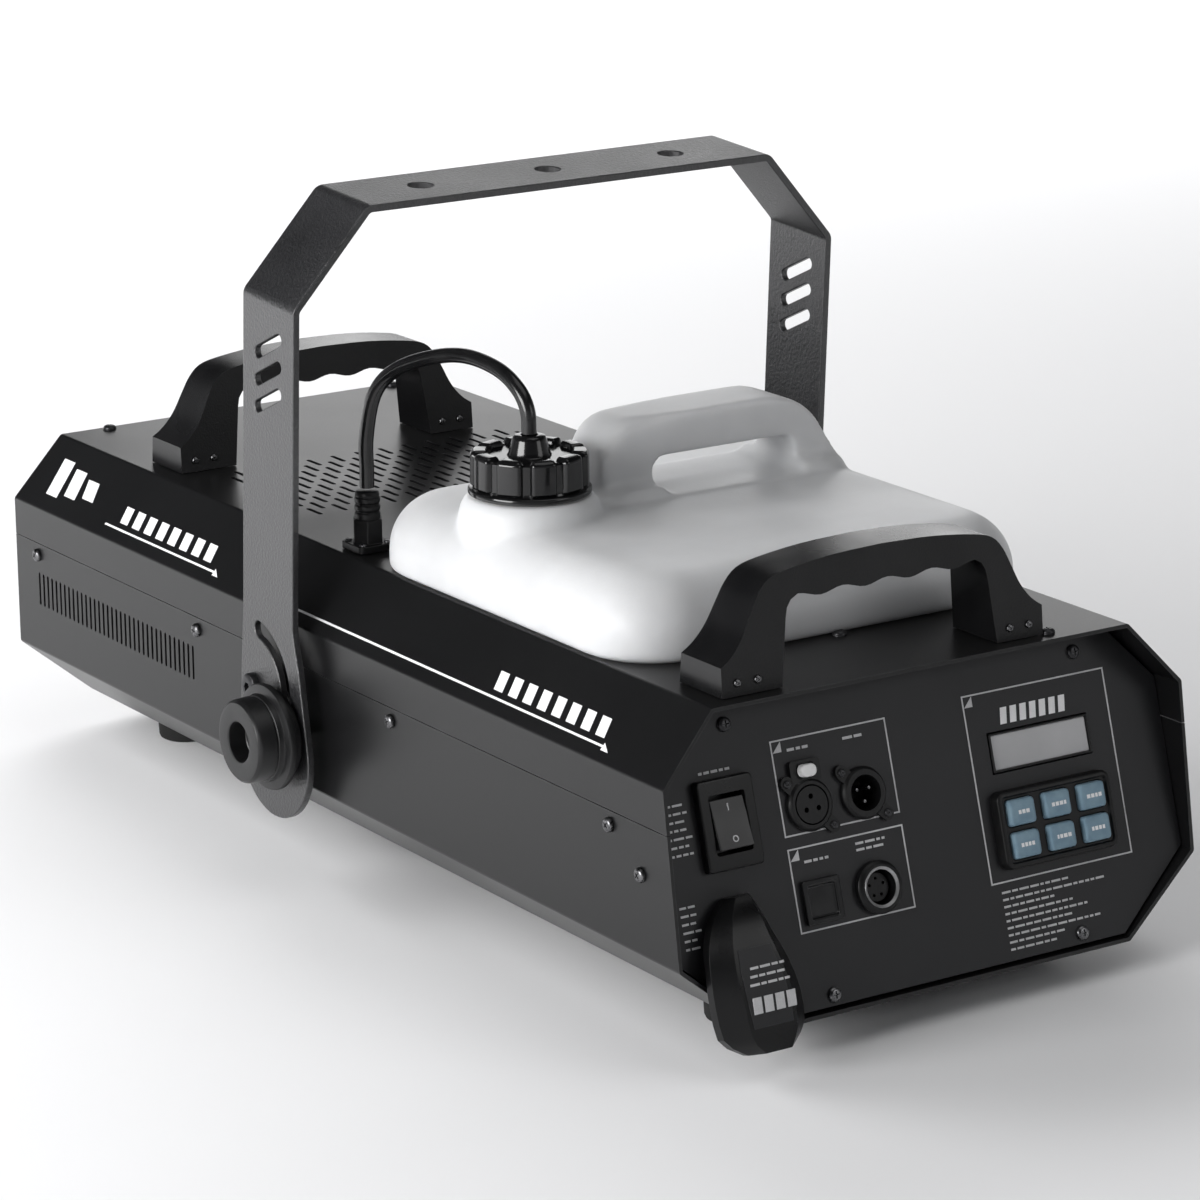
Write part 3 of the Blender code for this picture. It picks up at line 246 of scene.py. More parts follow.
def makeEdgeWearAndHighlight():
    # where handling has thinned the finish on outer edges, together with painted highlight lines along the
    # same edges
    tree, given, out = startGroup("edgeWearAndHighlight", {"Amount": 0.5, "Patches": 60.0, "Reach": 0.0009}, ("Mask",))
    flat = tree.nodes.new("ShaderNodeNewGeometry").outputs["Normal"]
    soft = tree.nodes.new("ShaderNodeBevel")
    soft.samples = 4
    tree.links.new(given.outputs["Reach"], soft.inputs["Radius"])
    dot = tree.nodes.new("ShaderNodeVectorMath")
    dot.operation = "DOT_PRODUCT"
    tree.links.new(flat, dot.inputs[0])
    tree.links.new(soft.outputs["Normal"], dot.inputs[1])
    edge = addRange(tree, dot.outputs["Value"], 0.995, 0.90)
    place = tree.nodes.new("ShaderNodeTexCoord").outputs["Object"]
    patches = addRange(tree, addNoise(tree, place, given.outputs["Patches"], 5.0, 0.65), 0.44, 0.62)
    both = addMath(tree, "MULTIPLY", edge, patches)
    tree.links.new(addMath(tree, "MULTIPLY", both, given.outputs["Amount"]), out.inputs["Mask"])
    return tree


def makeDustFilm():
    # light dust on faces that look up
    tree, given, out = startGroup("dustFilm", {"Amount": 0.2, "Patches": 9.0}, ("Mask",))
    coordinates = tree.nodes.new("ShaderNodeTexCoord")
    split = tree.nodes.new("ShaderNodeSeparateXYZ")
    tree.links.new(coordinates.outputs["Normal"], split.inputs[0])
    upward = addRange(tree, split.outputs["Z"], 0.45, 1.0)
    soft = addRange(tree, addNoise(tree, coordinates.outputs["Object"], given.outputs["Patches"], 5.0, 0.6),
                    0.3, 0.75)
    specks = addRange(tree, addNoise(tree, coordinates.outputs["Object"], 420.0, 2.0), 0.62, 0.72)
    film = addMath(tree, "ADD", soft, addMath(tree, "MULTIPLY", specks, 0.35))
    both = addMath(tree, "MULTIPLY", upward, film)
    tree.links.new(addMath(tree, "MULTIPLY", both, given.outputs["Amount"]), out.inputs["Mask"])
    return tree


def makeBrushed():
    # fine turned or rolled lines on bare metal
    tree, given, out = startGroup("brushedLines", {"Lines": 2600.0, "Blotches": 90.0}, ("Height", "Tone"))
    place = tree.nodes.new("ShaderNodeTexCoord").outputs["Object"]
    stretch = tree.nodes.new("ShaderNodeMapping")
    stretch.inputs["Scale"].default_value = (1.0, 0.04, 1.0)
    tree.links.new(place, stretch.inputs["Vector"])
    lines = addNoise(tree, stretch.outputs[0], given.outputs["Lines"], 2.0)
    blotches = addNoise(tree, place, given.outputs["Blotches"], 4.0)
    tree.links.new(lines, out.inputs["Height"])
    tree.links.new(addRange(tree, blotches, 0.3, 0.7), out.inputs["Tone"])
    return tree


textures = {
    "powderCoat": makePowderCoat(), "mouldGrain": makeMouldGrain(), "edgeWearAndHighlight": makeEdgeWearAndHighlight(),
    "dustFilm": makeDustFilm(), "brushedLines": makeBrushed(),
}


# Every finish: two tones, roughness from smooth to rough, and which effects it takes
finishes = {
    "housingPaint": {
        "dark": (0.0040, 0.0040, 0.0044), "light": (0.0060, 0.0060, 0.0065), "rough": (0.29, 0.35),
        "texture": ("powderCoat", {"Pebbles": 1100.0, "Drift": 7.0}), "bump": (0.08, 0.00010),
        "dust": 0.010, "wearAndHighlight": 0.35, "wearAndHighlightColour": (0.10, 0.10, 0.105), "specular": 0.45,
    },
    "panelPaint": {
        "dark": (0.0095, 0.0095, 0.0110), "light": (0.0135, 0.0135, 0.0152), "rough": (0.42, 0.54),
        "texture": ("powderCoat", {"Pebbles": 1500.0, "Drift": 10.0}), "bump": (0.08, 0.0001),
        "dust": 0.01, "wearAndHighlight": 0.2, "wearAndHighlightColour": (0.14, 0.14, 0.145), "specular": 0.4,
    },
    "yokePaint": {
        "dark": (0.0060, 0.0060, 0.0066), "light": (0.0270, 0.0270, 0.0290), "rough": (0.28, 0.40),
        "texture": ("powderCoat", {"Pebbles": 620.0, "Drift": 9.0}), "bump": (0.35, 0.0004),
        "dust": 0.01, "wearAndHighlight": 0.45, "wearAndHighlightColour": (0.20, 0.20, 0.21), "specular": 1.0,
    },
    "handlePlastic": {
        "dark": (0.0040, 0.0040, 0.0044), "light": (0.0075, 0.0075, 0.0080), "rough": (0.20, 0.30),
        "texture": ("mouldGrain", {"Cells": 1700.0, "Flow": 22.0}), "bump": (0.05, 0.0001),
        "dust": 0.008, "wearAndHighlight": 0.15, "wearAndHighlightColour": (0.06, 0.06, 0.062), "specular": 0.36,
    },
    "handleFace": {
        "dark": (0.0036, 0.0036, 0.0040), "light": (0.0070, 0.0070, 0.0076), "rough": (0.34, 0.46),
        "texture": ("mouldGrain", {"Cells": 900.0, "Flow": 26.0}), "bump": (0.35, 0.0003),
        "dust": 0.008, "wearAndHighlight": 0.15, "wearAndHighlightColour": (0.08, 0.08, 0.082), "specular": 0.36,
    },
    "knobPlastic": {
        "dark": (0.0040, 0.0040, 0.0044), "light": (0.0080, 0.0080, 0.0086), "rough": (0.32, 0.44),
        "texture": ("mouldGrain", {"Cells": 1300.0, "Flow": 40.0}), "bump": (0.15, 0.0002),
        "dust": 0.01, "wearAndHighlight": 0.25, "wearAndHighlightColour": (0.07, 0.07, 0.072), "specular": 0.5,
    },
    "glossPlastic": {
        "dark": (0.0045, 0.0045, 0.0048), "light": (0.0075, 0.0075, 0.0080), "rough": (0.10, 0.18),
        "texture": ("mouldGrain", {"Cells": 1200.0, "Flow": 50.0}), "bump": (0.04, 0.0001),
        "dust": 0.005, "wearAndHighlight": 0.1, "wearAndHighlightColour": (0.05, 0.05, 0.05), "specular": 0.5,
    },
    "hoseRubber": {
        "dark": (0.0060, 0.0060, 0.0064), "light": (0.0105, 0.0105, 0.0110), "rough": (0.16, 0.26),
        "texture": ("mouldGrain", {"Cells": 800.0, "Flow": 60.0}), "bump": (0.06, 0.0001),
        "dust": 0.008, "specular": 0.5,
    },
    "fittingPlastic": {
        "dark": (0.0032, 0.0032, 0.0035), "light": (0.0065, 0.0065, 0.0070), "rough": (0.36, 0.46),
        "texture": ("mouldGrain", {"Cells": 1500.0, "Flow": 45.0}), "bump": (0.12, 0.0002),
        "dust": 0.004, "wearAndHighlight": 0.15, "wearAndHighlightColour": (0.05, 0.05, 0.05), "specular": 0.3,
    },
    "hoodPlastic": {
        "dark": (0.0026, 0.0026, 0.0029), "light": (0.0048, 0.0048, 0.0052), "rough": (0.26, 0.36),
        "texture": ("mouldGrain", {"Cells": 1100.0, "Flow": 42.0}), "bump": (0.10, 0.0001),
        "dust": 0.003, "wearAndHighlight": 0.15, "wearAndHighlightColour": (0.05, 0.05, 0.05), "specular": 0.28,
    },
    "tankPlastic": {
        "dark": (0.55, 0.555, 0.565), "light": (0.65, 0.655, 0.665), "rough": (0.34, 0.48),
        "texture": ("mouldGrain", {"Cells": 420.0, "Flow": 16.0}), "bump": (0.10, 0.0004),
        "dust": 0.02, "specular": 0.45,
        "scatter": (0.45, 0.020),
    },
    "keyRubber": {
        "dark": (0.150, 0.245, 0.320), "light": (0.220, 0.330, 0.405), "rough": (0.48, 0.62),
        "texture": ("mouldGrain", {"Cells": 1500.0, "Flow": 120.0}), "bump": (0.12, 0.0001),
        "dust": 0.05, "wearAndHighlight": 0.25, "wearAndHighlightColour": (0.40, 0.50, 0.58), "specular": 0.4,
    },
    "screenGlass": {
        "dark": (0.40, 0.40, 0.41), "light": (0.48, 0.48, 0.49), "rough": (0.20, 0.28),
        "texture": ("mouldGrain", {"Cells": 500.0, "Flow": 20.0}), "bump": (0.02, 0.0001),
        "dust": 0.03, "specular": 0.5,
    },
    "legendInk": {
        "dark": (0.44, 0.44, 0.45), "light": (0.62, 0.62, 0.63), "rough": (0.50, 0.62),
        "texture": ("powderCoat", {"Pebbles": 1800.0, "Drift": 60.0}), "bump": (0.05, 0.00005),
        "specular": 0.4,
    },
    "stripeInk": {
        "dark": (0.74, 0.74, 0.75), "light": (0.88, 0.88, 0.89), "rough": (0.42, 0.55),
        "texture": ("powderCoat", {"Pebbles": 1800.0, "Drift": 60.0}), "bump": (0.05, 0.00005),
        "specular": 0.4,
    },
    "whiteTab": {
        "dark": (0.74, 0.74, 0.74), "light": (0.84, 0.84, 0.84), "rough": (0.35, 0.45),
        "texture": ("mouldGrain", {"Cells": 1500.0, "Flow": 90.0}), "bump": (0.08, 0.0001),
        "specular": 0.5,
    },
    "screwSteel": {
        "dark": (0.10, 0.10, 0.105), "light": (0.24, 0.24, 0.245), "rough": (0.22, 0.38), "metal": 1.0,
        "texture": ("brushedLines", {"Lines": 2200.0, "Blotches": 260.0}), "bump": (0.08, 0.0001),
        "wearAndHighlight": 0.3, "wearAndHighlightColour": (0.7, 0.7, 0.72), "specular": 0.5,
    },
    "blackScrew": {
        "dark": (0.022, 0.022, 0.024), "light": (0.045, 0.045, 0.048), "rough": (0.30, 0.42), "metal": 0.6,
        "texture": ("brushedLines", {"Lines": 2200.0, "Blotches": 260.0}), "bump": (0.08, 0.0001),
        "wearAndHighlight": 0.5, "wearAndHighlightColour": (0.5, 0.5, 0.52), "specular": 0.5,
    },
    "platedSteel": {
        "dark": (0.34, 0.34, 0.345), "light": (0.48, 0.48, 0.485), "rough": (0.34, 0.5), "metal": 1.0,
        "texture": ("brushedLines", {"Lines": 1500.0, "Blotches": 70.0}), "bump": (0.08, 0.0002),
        "dust": 0.04, "specular": 0.5,
    },
    "warmBrass": {
        "dark": (0.42, 0.27, 0.10), "light": (0.62, 0.43, 0.18), "rough": (0.28, 0.46), "metal": 1.0,
        "texture": ("brushedLines", {"Lines": 1800.0, "Blotches": 110.0}), "bump": (0.08, 0.0001),
        "wearAndHighlight": 0.2, "wearAndHighlightColour": (0.8, 0.6, 0.3), "specular": 0.5,
    },
    "castAluminium": {
        "dark": (0.42, 0.42, 0.43), "light": (0.60, 0.60, 0.61), "rough": (0.42, 0.6), "metal": 1.0,
        "texture": ("powderCoat", {"Pebbles": 500.0, "Drift": 40.0}), "bump": (0.3, 0.0004),
        "dust": 0.05, "specular": 0.5,
    },
    "fibreWrap": {
        "dark": (0.50, 0.47, 0.40), "light": (0.68, 0.66, 0.60), "rough": (0.85, 0.95),
        "texture": ("mouldGrain", {"Cells": 380.0, "Flow": 60.0}), "bump": (0.8, 0.001),
        "dust": 0.05, "specular": 0.2,
    },
    "boardGreen": {
        "dark": (0.012, 0.085, 0.035), "light": (0.022, 0.15, 0.06), "rough": (0.35, 0.5),
        "texture": ("mouldGrain", {"Cells": 300.0, "Flow": 80.0}), "bump": (0.2, 0.0002),
        "dust": 0.08, "specular": 0.5,
    },
    "clearTube": {
        "dark": (0.46, 0.50, 0.52), "light": (0.62, 0.66, 0.68), "rough": (0.18, 0.3),
        "texture": ("mouldGrain", {"Cells": 500.0, "Flow": 50.0}), "bump": (0.05, 0.0001),
        "specular": 0.5, "scatter": (0.4, 0.004),
    },
    "footRubber": {
        "dark": (0.010, 0.010, 0.010), "light": (0.020, 0.020, 0.020), "rough": (0.78, 0.92),
        "texture": ("mouldGrain", {"Cells": 900.0, "Flow": 50.0}), "bump": (0.35, 0.0003),
        "dust": 0.10, "specular": 0.3,
    },
}
dustColour = (0.34, 0.33, 0.31, 1)


def placeGroup(tree, name, values):
    node = tree.nodes.new("ShaderNodeGroup")
    node.node_tree = textures[name]
    for label, value in values.items():
        node.inputs[label].default_value = value
    return node


def mixColour(tree, mask, first, second):
    node = tree.nodes.new("ShaderNodeMix")
    node.data_type = "RGBA"
    tree.links.new(mask, node.inputs["Factor"])
    for socket, value in ((node.inputs["A"], first), (node.inputs["B"], second)):
        if isinstance(value, tuple):
            socket.default_value = value
        else:
            tree.links.new(value, socket)
    return node.outputs["Result"]


def makeFinish(name, look):
    material = bpy.data.materials.new(name)
    material.use_nodes = True
    tree = material.node_tree
    shader = tree.nodes["Principled BSDF"]
    shader.inputs["Metallic"].default_value = look.get("metal", 0.0)
    shader.inputs["Specular IOR Level"].default_value = look["specular"]
    surface = placeGroup(tree, *look["texture"])
    colour = mixColour(tree, surface.outputs["Tone"], (*look["dark"], 1), (*look["light"], 1))
    roughness = addRange(tree, surface.outputs["Tone"], 0, 1, *look["rough"])
    # outer edges take a lighter colour: worn finish plus painted edge highlight
    if look.get("wearAndHighlight"):
        wearAndHighlight = placeGroup(tree, "edgeWearAndHighlight", {"Amount": look["wearAndHighlight"]})
        colour = mixColour(tree, wearAndHighlight.outputs["Mask"], colour, (*look["wearAndHighlightColour"], 1))
    if look.get("dust"):
        dust = placeGroup(tree, "dustFilm", {"Amount": look["dust"]})
        colour = mixColour(tree, dust.outputs["Mask"], colour, dustColour)
        roughness = addMath(tree, "ADD", roughness, addMath(tree, "MULTIPLY", dust.outputs["Mask"], 0.6))
    bump = tree.nodes.new("ShaderNodeBump")
    bump.inputs["Strength"].default_value, bump.inputs["Distance"].default_value = look["bump"]
    tree.links.new(surface.outputs["Height"], bump.inputs["Height"])
    tree.links.new(colour, shader.inputs["Base Color"])
    tree.links.new(roughness, shader.inputs["Roughness"])
    tree.links.new(bump.outputs["Normal"], shader.inputs["Normal"])
    if "scatter" in look:
        shader.inputs["Subsurface Weight"].default_value = look["scatter"][0]
        shader.inputs["Subsurface Scale"].default_value = look["scatter"][1]
        shader.inputs["Subsurface Radius"].default_value = (1.0, 0.95, 0.9)
    return material


paint = {name: makeFinish(name, look) for name, look in finishes.items()}
print("finishes ready:", len(paint))


# Mesh tools

def axisMatrix(axis):
    return {
        "X": Matrix(((0, 0, 1), (1, 0, 0), (0, 1, 0))),
        "Y": Matrix(((1, 0, 0), (0, 0, 1), (0, 1, 0))),
        "Z": Matrix(((1, 0, 0), (0, 1, 0), (0, 0, 1))),
    }[axis]


def prism(outline, axis, low, high):
    turn = axisMatrix(axis)
    bm = bmesh.new()
    rings = [[bm.verts.new(turn @ Vector((u, v, level))) for u, v in outline] for level in (low, high)]
    count = len(outline)
    for i in range(count):
        j = (i + 1) % count
        bm.faces.new((rings[0][i], rings[0][j], rings[1][j], rings[1][i]))
    bm.faces.new(rings[0])
    bm.faces.new(rings[1])
    return bm


def block(low, high):
    return prism([(low[0], low[1]), (high[0], low[1]), (high[0], high[1]), (low[0], high[1])], "Z", low[2],
                 high[2])


def lathe(profile, axis, centre, sides=48, closed=True):
    # profile is (radius, height) round a closed section, or from axis to axis
    turn = axisMatrix(axis)
    bm = bmesh.new()
    rings = []
    for radius, height in profile:
        count = 1 if radius < 1e-7 else sides
        ring = []
        for i in range(count):
            angle = 2 * pi * i / sides
            ring.append(bm.verts.new(turn @ Vector((radius * cos(angle), radius * sin(angle),
                                                    height)) + Vector(centre)))
        rings.append(ring)
    pairs = list(zip(rings, rings[1:]))
    if closed:
        pairs.append((rings[-1], rings[0]))
    for lower, upper in pairs:
        if len(lower) == 1 and len(upper) == 1:
            continue
        for i in range(sides):
            j = (i + 1) % sides
            corners = [lower[i % len(lower)], lower[j % len(lower)], upper[j % len(upper)],
                       upper[i % len(upper)]]
            bm.faces.new(list(dict.fromkeys(corners)))
    return bm


def rod(radius, low, high, axis, centre, sides=48):
    return lathe([(0, low), (radius, low), (radius, high), (0, high)], axis, centre, sides)


def loft(rings, capped=True):
    bm = bmesh.new()
    made = [[bm.verts.new(point) for point in ring] for ring in rings]
    count = len(made[0])
    for lower, upper in zip(made, made[1:]):
        for i in range(count):
            j = (i + 1) % count
            bm.faces.new((lower[i], lower[j], upper[j], upper[i]))
    if capped:
        bm.faces.new(made[0])
        bm.faces.new(made[-1])
    return bm


def arc(centre, radius, start, end, steps):
    result = []
    for i in range(steps + 1):
        angle = radians(start + (end - start) * i / steps)
        result.append((centre[0] + radius * cos(angle), centre[1] + radius * sin(angle)))
    return result


def roundedBox(halfX, halfY, radius, steps=6, centre=(0, 0)):
    points = []
    for signX, signY, start in ((1, 1, 0), (-1, 1, 90), (-1, -1, 180), (1, -1, 270)):
        corner = (centre[0] + signX * (halfX - radius), centre[1] + signY * (halfY - radius))
        points += arc(corner, radius, start, start + 90, steps)
    return points


def softSlot(u, v, length, width, angle=90, steps=5):
    # slot with round ends, its long direction at angle degrees
    along = Vector((cos(radians(angle)), sin(radians(angle)))) * (length - width) / 2
    return (arc(Vector((u, v)) + along, width / 2, angle - 90, angle + 90, steps)
            + arc(Vector((u, v)) - along, width / 2, angle + 90, angle + 270, steps))


def roundPath(points, radius, steps=5):
    # an open line with its inner corners rounded
    path = [Vector(points[0])]
    for before, corner, after in zip(points, points[1:], points[2:]):
        corner = Vector(corner)
        inward = (Vector(before) - corner).normalized()
        outward = (Vector(after) - corner).normalized()
        half = inward.angle(outward) / 2
        reach = radius / math.tan(half)
        middle = corner + (inward + outward).normalized() * radius / sin(half)
        start = corner + inward * reach - middle
        end = corner + outward * reach - middle
        for i in range(steps + 1):
            path.append(middle + start.normalized().slerp(end.normalized(), i / steps) * radius)
    path.append(Vector(points[-1]))
    return [tuple(point) for point in path]


def merged(pieces):
    bm = bmesh.new()
    for piece in pieces:
        mesh = bpy.data.meshes.new("part")
        piece.to_mesh(mesh)
        piece.free()
        bm.from_mesh(mesh)
        bpy.data.meshes.remove(mesh)
    return bm


def toObject(name, bm):
    bmesh.ops.recalc_face_normals(bm, faces=bm.faces)
    mesh = bpy.data.meshes.new(name)
    bm.to_mesh(mesh)
    bm.free()
    piece = bpy.data.objects.new(name, mesh)
    bpy.context.scene.collection.objects.link(piece)
    return piece


def applyAll(piece):
    # the evaluated mesh takes the place of the modifiers
    bpy.context.view_layer.update()
    made = bpy.data.meshes.new_from_object(piece.evaluated_get(bpy.context.evaluated_depsgraph_get()))
    old = piece.data
    piece.modifiers.clear()
    piece.data = made
    made.name = old.name
    bpy.data.meshes.remove(old)
    return piece


def shape(bm, other, operation):
    first = toObject("shapeFirst", bm)
    second = toObject("shapeSecond", other)
    modifier = first.modifiers.new("shape", "BOOLEAN")
    modifier.operation = operation
    modifier.object = second
    modifier.solver = "EXACT"
    applyAll(first)
    result = bmesh.new()
    result.from_mesh(first.data)
    for piece in (first, second):
        mesh = piece.data
        bpy.data.objects.remove(piece, do_unlink=True)
        bpy.data.meshes.remove(mesh)
    bmesh.ops.dissolve_degenerate(result, dist=1e-6, edges=result.edges)
    return result


def cut(bm, *tools):
    return shape(bm, merged(tools), "DIFFERENCE")


def join(bm, *others):
    for other in others:
        bm = shape(bm, other, "UNION")
    return bm


def place(name, bm, finish, body, slotName, edge=0.0, segments=2, replaced=(), matrix=None, angle=32):
    if matrix is not None:
        bm.transform(matrix)
    piece = toObject(name, bm)
    piece.data.shade_smooth()
    piece.data.materials.append(paint[finish])
    if edge > 0:
        bevel = piece.modifiers.new("softEdges", "BEVEL")
        bevel.width = edge
        bevel.segments = segments
        bevel.limit_method = "ANGLE"
        bevel.angle_limit = radians(angle)
        bevel.harden_normals = True
    else:
        piece.data.set_sharp_from_angle(angle=radians(angle))
    normals = piece.modifiers.new("evenNormals", "WEIGHTED_NORMAL")
    normals.keep_sharp = True
    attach(piece, body)
    if replaced:
        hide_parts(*replaced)
    return piece


# Housing: bent sheet shells with round bends, vents and the tank opening

vents = {
    "grilleColumns": 25, "grilleRows": 5, "grillePitch": (0.0080, 0.0215), "grilleStart": 0.106,
    "grilleStagger": 0.0107, "grilleSlot": (0.0160, 0.0028),
    "louvres": 36, "louvreStart": 0.134, "louvrePitch": 0.00535, "louvreSlot": (0.0200, 0.0022),
    "louvreZ": 0.0765,
}
opening = {"halfX": 0.1240, "y": (-0.2525, -0.0055), "corner": 0.033}
pivot = {"y": 0.042, "z": ground + 0.088, "slotRadius": 0.034, "studAngle": 216.0, "lean": 3.3}
stud = (pivot["y"] + pivot["slotRadius"] * cos(radians(pivot["studAngle"])),
        pivot["z"] + pivot["slotRadius"] * sin(radians(pivot["studAngle"])))
sideScrews = ((0.322, 0.097), (0.128, 0.097), (-0.080, 0.097), (-0.285, 0.097))


def shellHalf(inset, upper):
    corner = inset * (math.sqrt(2) - 1)
    side = housing["halfWidth"] - inset
    tall = deck - ground
    if upper:
        points = [(side, housing["seam"] + gap), (side, tall - housing["topChamfer"][1] - corner),
                  (housing["halfWidth"] - housing["topChamfer"][0] - corner, tall - inset)]
    else:
        points = [(side, housing["seam"]), (side, housing["lowChamfer"][1] + corner),
                  (housing["halfWidth"] - housing["lowChamfer"][0] - corner, inset)]
    return points + [(-x, z) for x, z in reversed(points)]


def shellMesh(upper):
    radius = housing["bendRadius"]
    outer = roundPath(shellHalf(0, upper), radius)
    inner = roundPath(shellHalf(housing["sheet"], upper), radius - housing["sheet"])
    bm = prism(outer + inner[::-1], "Y", housing["rear"], housing["front"])
    for vertex in bm.verts:
        if vertex.co.y < 0:
            vertex.co.y += housing["lean"] * vertex.co.z / (deck - ground)
        vertex.co.z += ground
    return bm


def makeShells():
    half = housing["halfWidth"]
    tools = []
    for side in (-1, 1):
        low, high = sorted((side * (half + 0.004), side * (half - 0.006)))
        for i in range(vents["louvres"]):
            y = vents["louvreStart"] + i * vents["louvrePitch"]
            tools.append(prism(softSlot(y, ground + vents["louvreZ"], *vents["louvreSlot"], steps=3), "X",
                               low, high))
    tray = cut(shellMesh(False), *tools)
    place("trayShell", tray, "housingPaint", "housing", "black_steel", replaced=("bottom_tray",))
    tools = []
    for row in range(vents["grilleRows"]):
        for column in range(vents["grilleColumns"]):
            x = (column - (vents["grilleColumns"] - 1) / 2) * vents["grillePitch"][0]
            stagger = vents["grilleStagger"] if column % 2 else 0
            y = vents["grilleStart"] + row * vents["grillePitch"][1] + stagger
            tools.append(prism(softSlot(x, y, *vents["grilleSlot"], steps=3), "Z", deck - 0.008,
                               deck + 0.004))
    centre = sum(opening["y"]) / 2
    hole = roundedBox(opening["halfX"], (opening["y"][1] - opening["y"][0]) / 2, opening["corner"], 8,
                      (0, centre))
    tools.append(prism(hole, "Z", deck - 0.010, deck + 0.010))
    place("coverShell", cut(shellMesh(True), *tools), "housingPaint", "housing", "black_steel",
          replaced=("top_cover",))


nozzleZ = ground + 0.0760


def makeFrontEnd():
    low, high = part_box("front_panel")
    half = high[0]
    foot = housing["lowChamfer"]
    brow = housing["topChamfer"]
    right = [(half - foot[0] + 0.001, low[2]), (half, ground + foot[1] + 0.001),
             (half, deck - brow[1] - 0.001), (half - brow[0] + 0.001, high[2])]
    outline = right + [(-x, z) for x, z in reversed(right)]
    plate = cut(prism(outline, "Y", low[1], high[1]), rod(0.0165, 0.33, 0.36, "Y",
                                                             (0, 0, nozzleZ)))
    place("frontPlate", plate, "housingPaint", "housing", "black_steel", edge=0.0003,
          replaced=("front_panel",))
    ringLow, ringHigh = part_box("nozzle_ring")
    start, end = ringLow[1], ringHigh[1]
    profile = [(0.0200, start), (0.0300, start), (0.0300, start + 0.0050), (0.0285, start + 0.0058)]
    profile += [(0.0285, end - 0.0022), (0.0279, end - 0.0008), (0.0265, end), (0.0218, end),
                (0.0205, end - 0.0007),
                (0.0200, end - 0.0020)]
    place("nozzleGuard", lathe(profile, "Y", (0, 0, nozzleZ), 64), "housingPaint", "housing", "black_steel",
          replaced=("nozzle_ring",))
    start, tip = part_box("nozzle")[0][1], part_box("nozzle")[1][1]
    profile = [(0.0035, start), (0.0150, start), (0.0150, start + 0.012), (0.0100, start + 0.016)]
    profile += [(0.0100, tip - 0.0075), (0.0096, tip - 0.0066), (0.0080, tip - 0.0040),
                (0.0068, tip - 0.0004),
                (0.0062, tip), (0.0043, tip), (0.0035, tip - 0.0010)]
    place("nozzleTip", lathe(profile, "Y", (0, 0, nozzleZ), 40), "warmBrass", "housing", "brass",
          replaced=("nozzle",))


makeShells()
makeFrontEnd()
print("housing ready")


# Screws: one pan head with a cross recess, reused everywhere

screw = {"radius": 0.0038, "height": 0.0023, "recess": 0.0021, "slot": 0.0008, "depth": 0.0014,
         "shank": 0.0018}
screwMeshes = {}


def screwMesh(scale):
    radius, height = screw["radius"] * scale, screw["height"] * scale
    profile = [(0, -0.0030), (screw["shank"] * scale, -0.0030), (screw["shank"] * scale, 0), (radius, 0)]
    for i in range(7):
        angle = radians(90 * i / 6)
        profile.append((radius - height * 0.9 + height * 0.9 * cos(angle),
                        height * (0.25 + 0.75 * sin(angle))))
    profile.append((0, height))
    head = lathe(profile, "Z", (0, 0, 0), 28)
    bars = []
    for across in (0, 1):
        reach, half = screw["recess"] * scale, screw["slot"] * scale / 2
        size = (reach, half) if across else (half, reach)
        low = height - screw["depth"] * scale
        bars.append(loft([[(x * k, y * k, z) for x, y in ((-size[0], -size[1]), (size[0], -size[1]), size,
                                                          (-size[0], size[1]))]
                          for z, k in ((low, 0.55), (height + 0.001, 1.15))]))
    return cut(head, join(*bars))


def addScrew(name, spot, facing, finish="screwSteel", slotName="bright_steel", scale=1.0, spin=0, replaced=(),
             body="housing"):
    key = (finish, scale)
    turn = Vector(facing).to_track_quat("Z",
                                        "Y").to_matrix().to_4x4() @ Matrix.Rotation(radians(spin), 4, "Z")
    matrix = Matrix.Translation(spot) @ turn
    if key in screwMeshes:
        piece = bpy.data.objects.new(name, screwMeshes[key])
        bpy.context.scene.collection.objects.link(piece)
        piece.matrix_world = matrix
        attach(piece, body)
        if replaced:
            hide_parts(*replaced)
        return piece
    piece = toObject(name, screwMesh(scale))
    piece.data.shade_smooth()
    piece.data.set_sharp_from_angle(angle=radians(32))
    piece.data.materials.append(paint[finish])
    screwMeshes[key] = piece.data
    piece.matrix_world = matrix
    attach(piece, body)
    if replaced:
        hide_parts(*replaced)
    return piece


housingScrews = {
    "low": (-0.312, 0.079),
    "deck": ((-0.098, 0.345), (0.098, 0.345), (0.0845, -0.315), (-0.003, -0.258)),
    "front": ((-0.105, 0.128), (0.105, 0.128), (-0.105, 0.024), (0.105, 0.024)), "frontInset": 0.003,
}


def makeHousingScrews():
    face = housing["halfWidth"] + gap
    low = housingScrews["low"]
    for side, word in ((-1, "left"), (1, "right")):
        for index, (y, z) in enumerate(sideScrews, 1):
            addScrew(f"screw_{word}_{index}", (side * face, y, ground + z), (side, 0, 0),
                     spin=17 + 31 * index,
                     replaced=(f"side_screw_{word}_{index}",))
        addScrew(f"screw_{word}_low", (side * face, low[0], ground + low[1]), (side, 0, 0), spin=52)
    for index, (x, y) in enumerate(housingScrews["deck"], 1):
        addScrew(f"deckScrew_{index}", (x, y, deck), (0, 0, 1), "blackScrew", "black_steel", spin=24 * index)
    for index, (x, z) in enumerate(housingScrews["front"], 1):
        addScrew(f"frontScrew_{index}", (x, housing["front"] - housingScrews["frontInset"], ground + z),
                 (0, 1, 0), spin=41 * index)


makeHousingScrews()
print("screws ready")


# Fluid tank: blow-moulded body, screw neck boss and grip, fused by a fine remesh

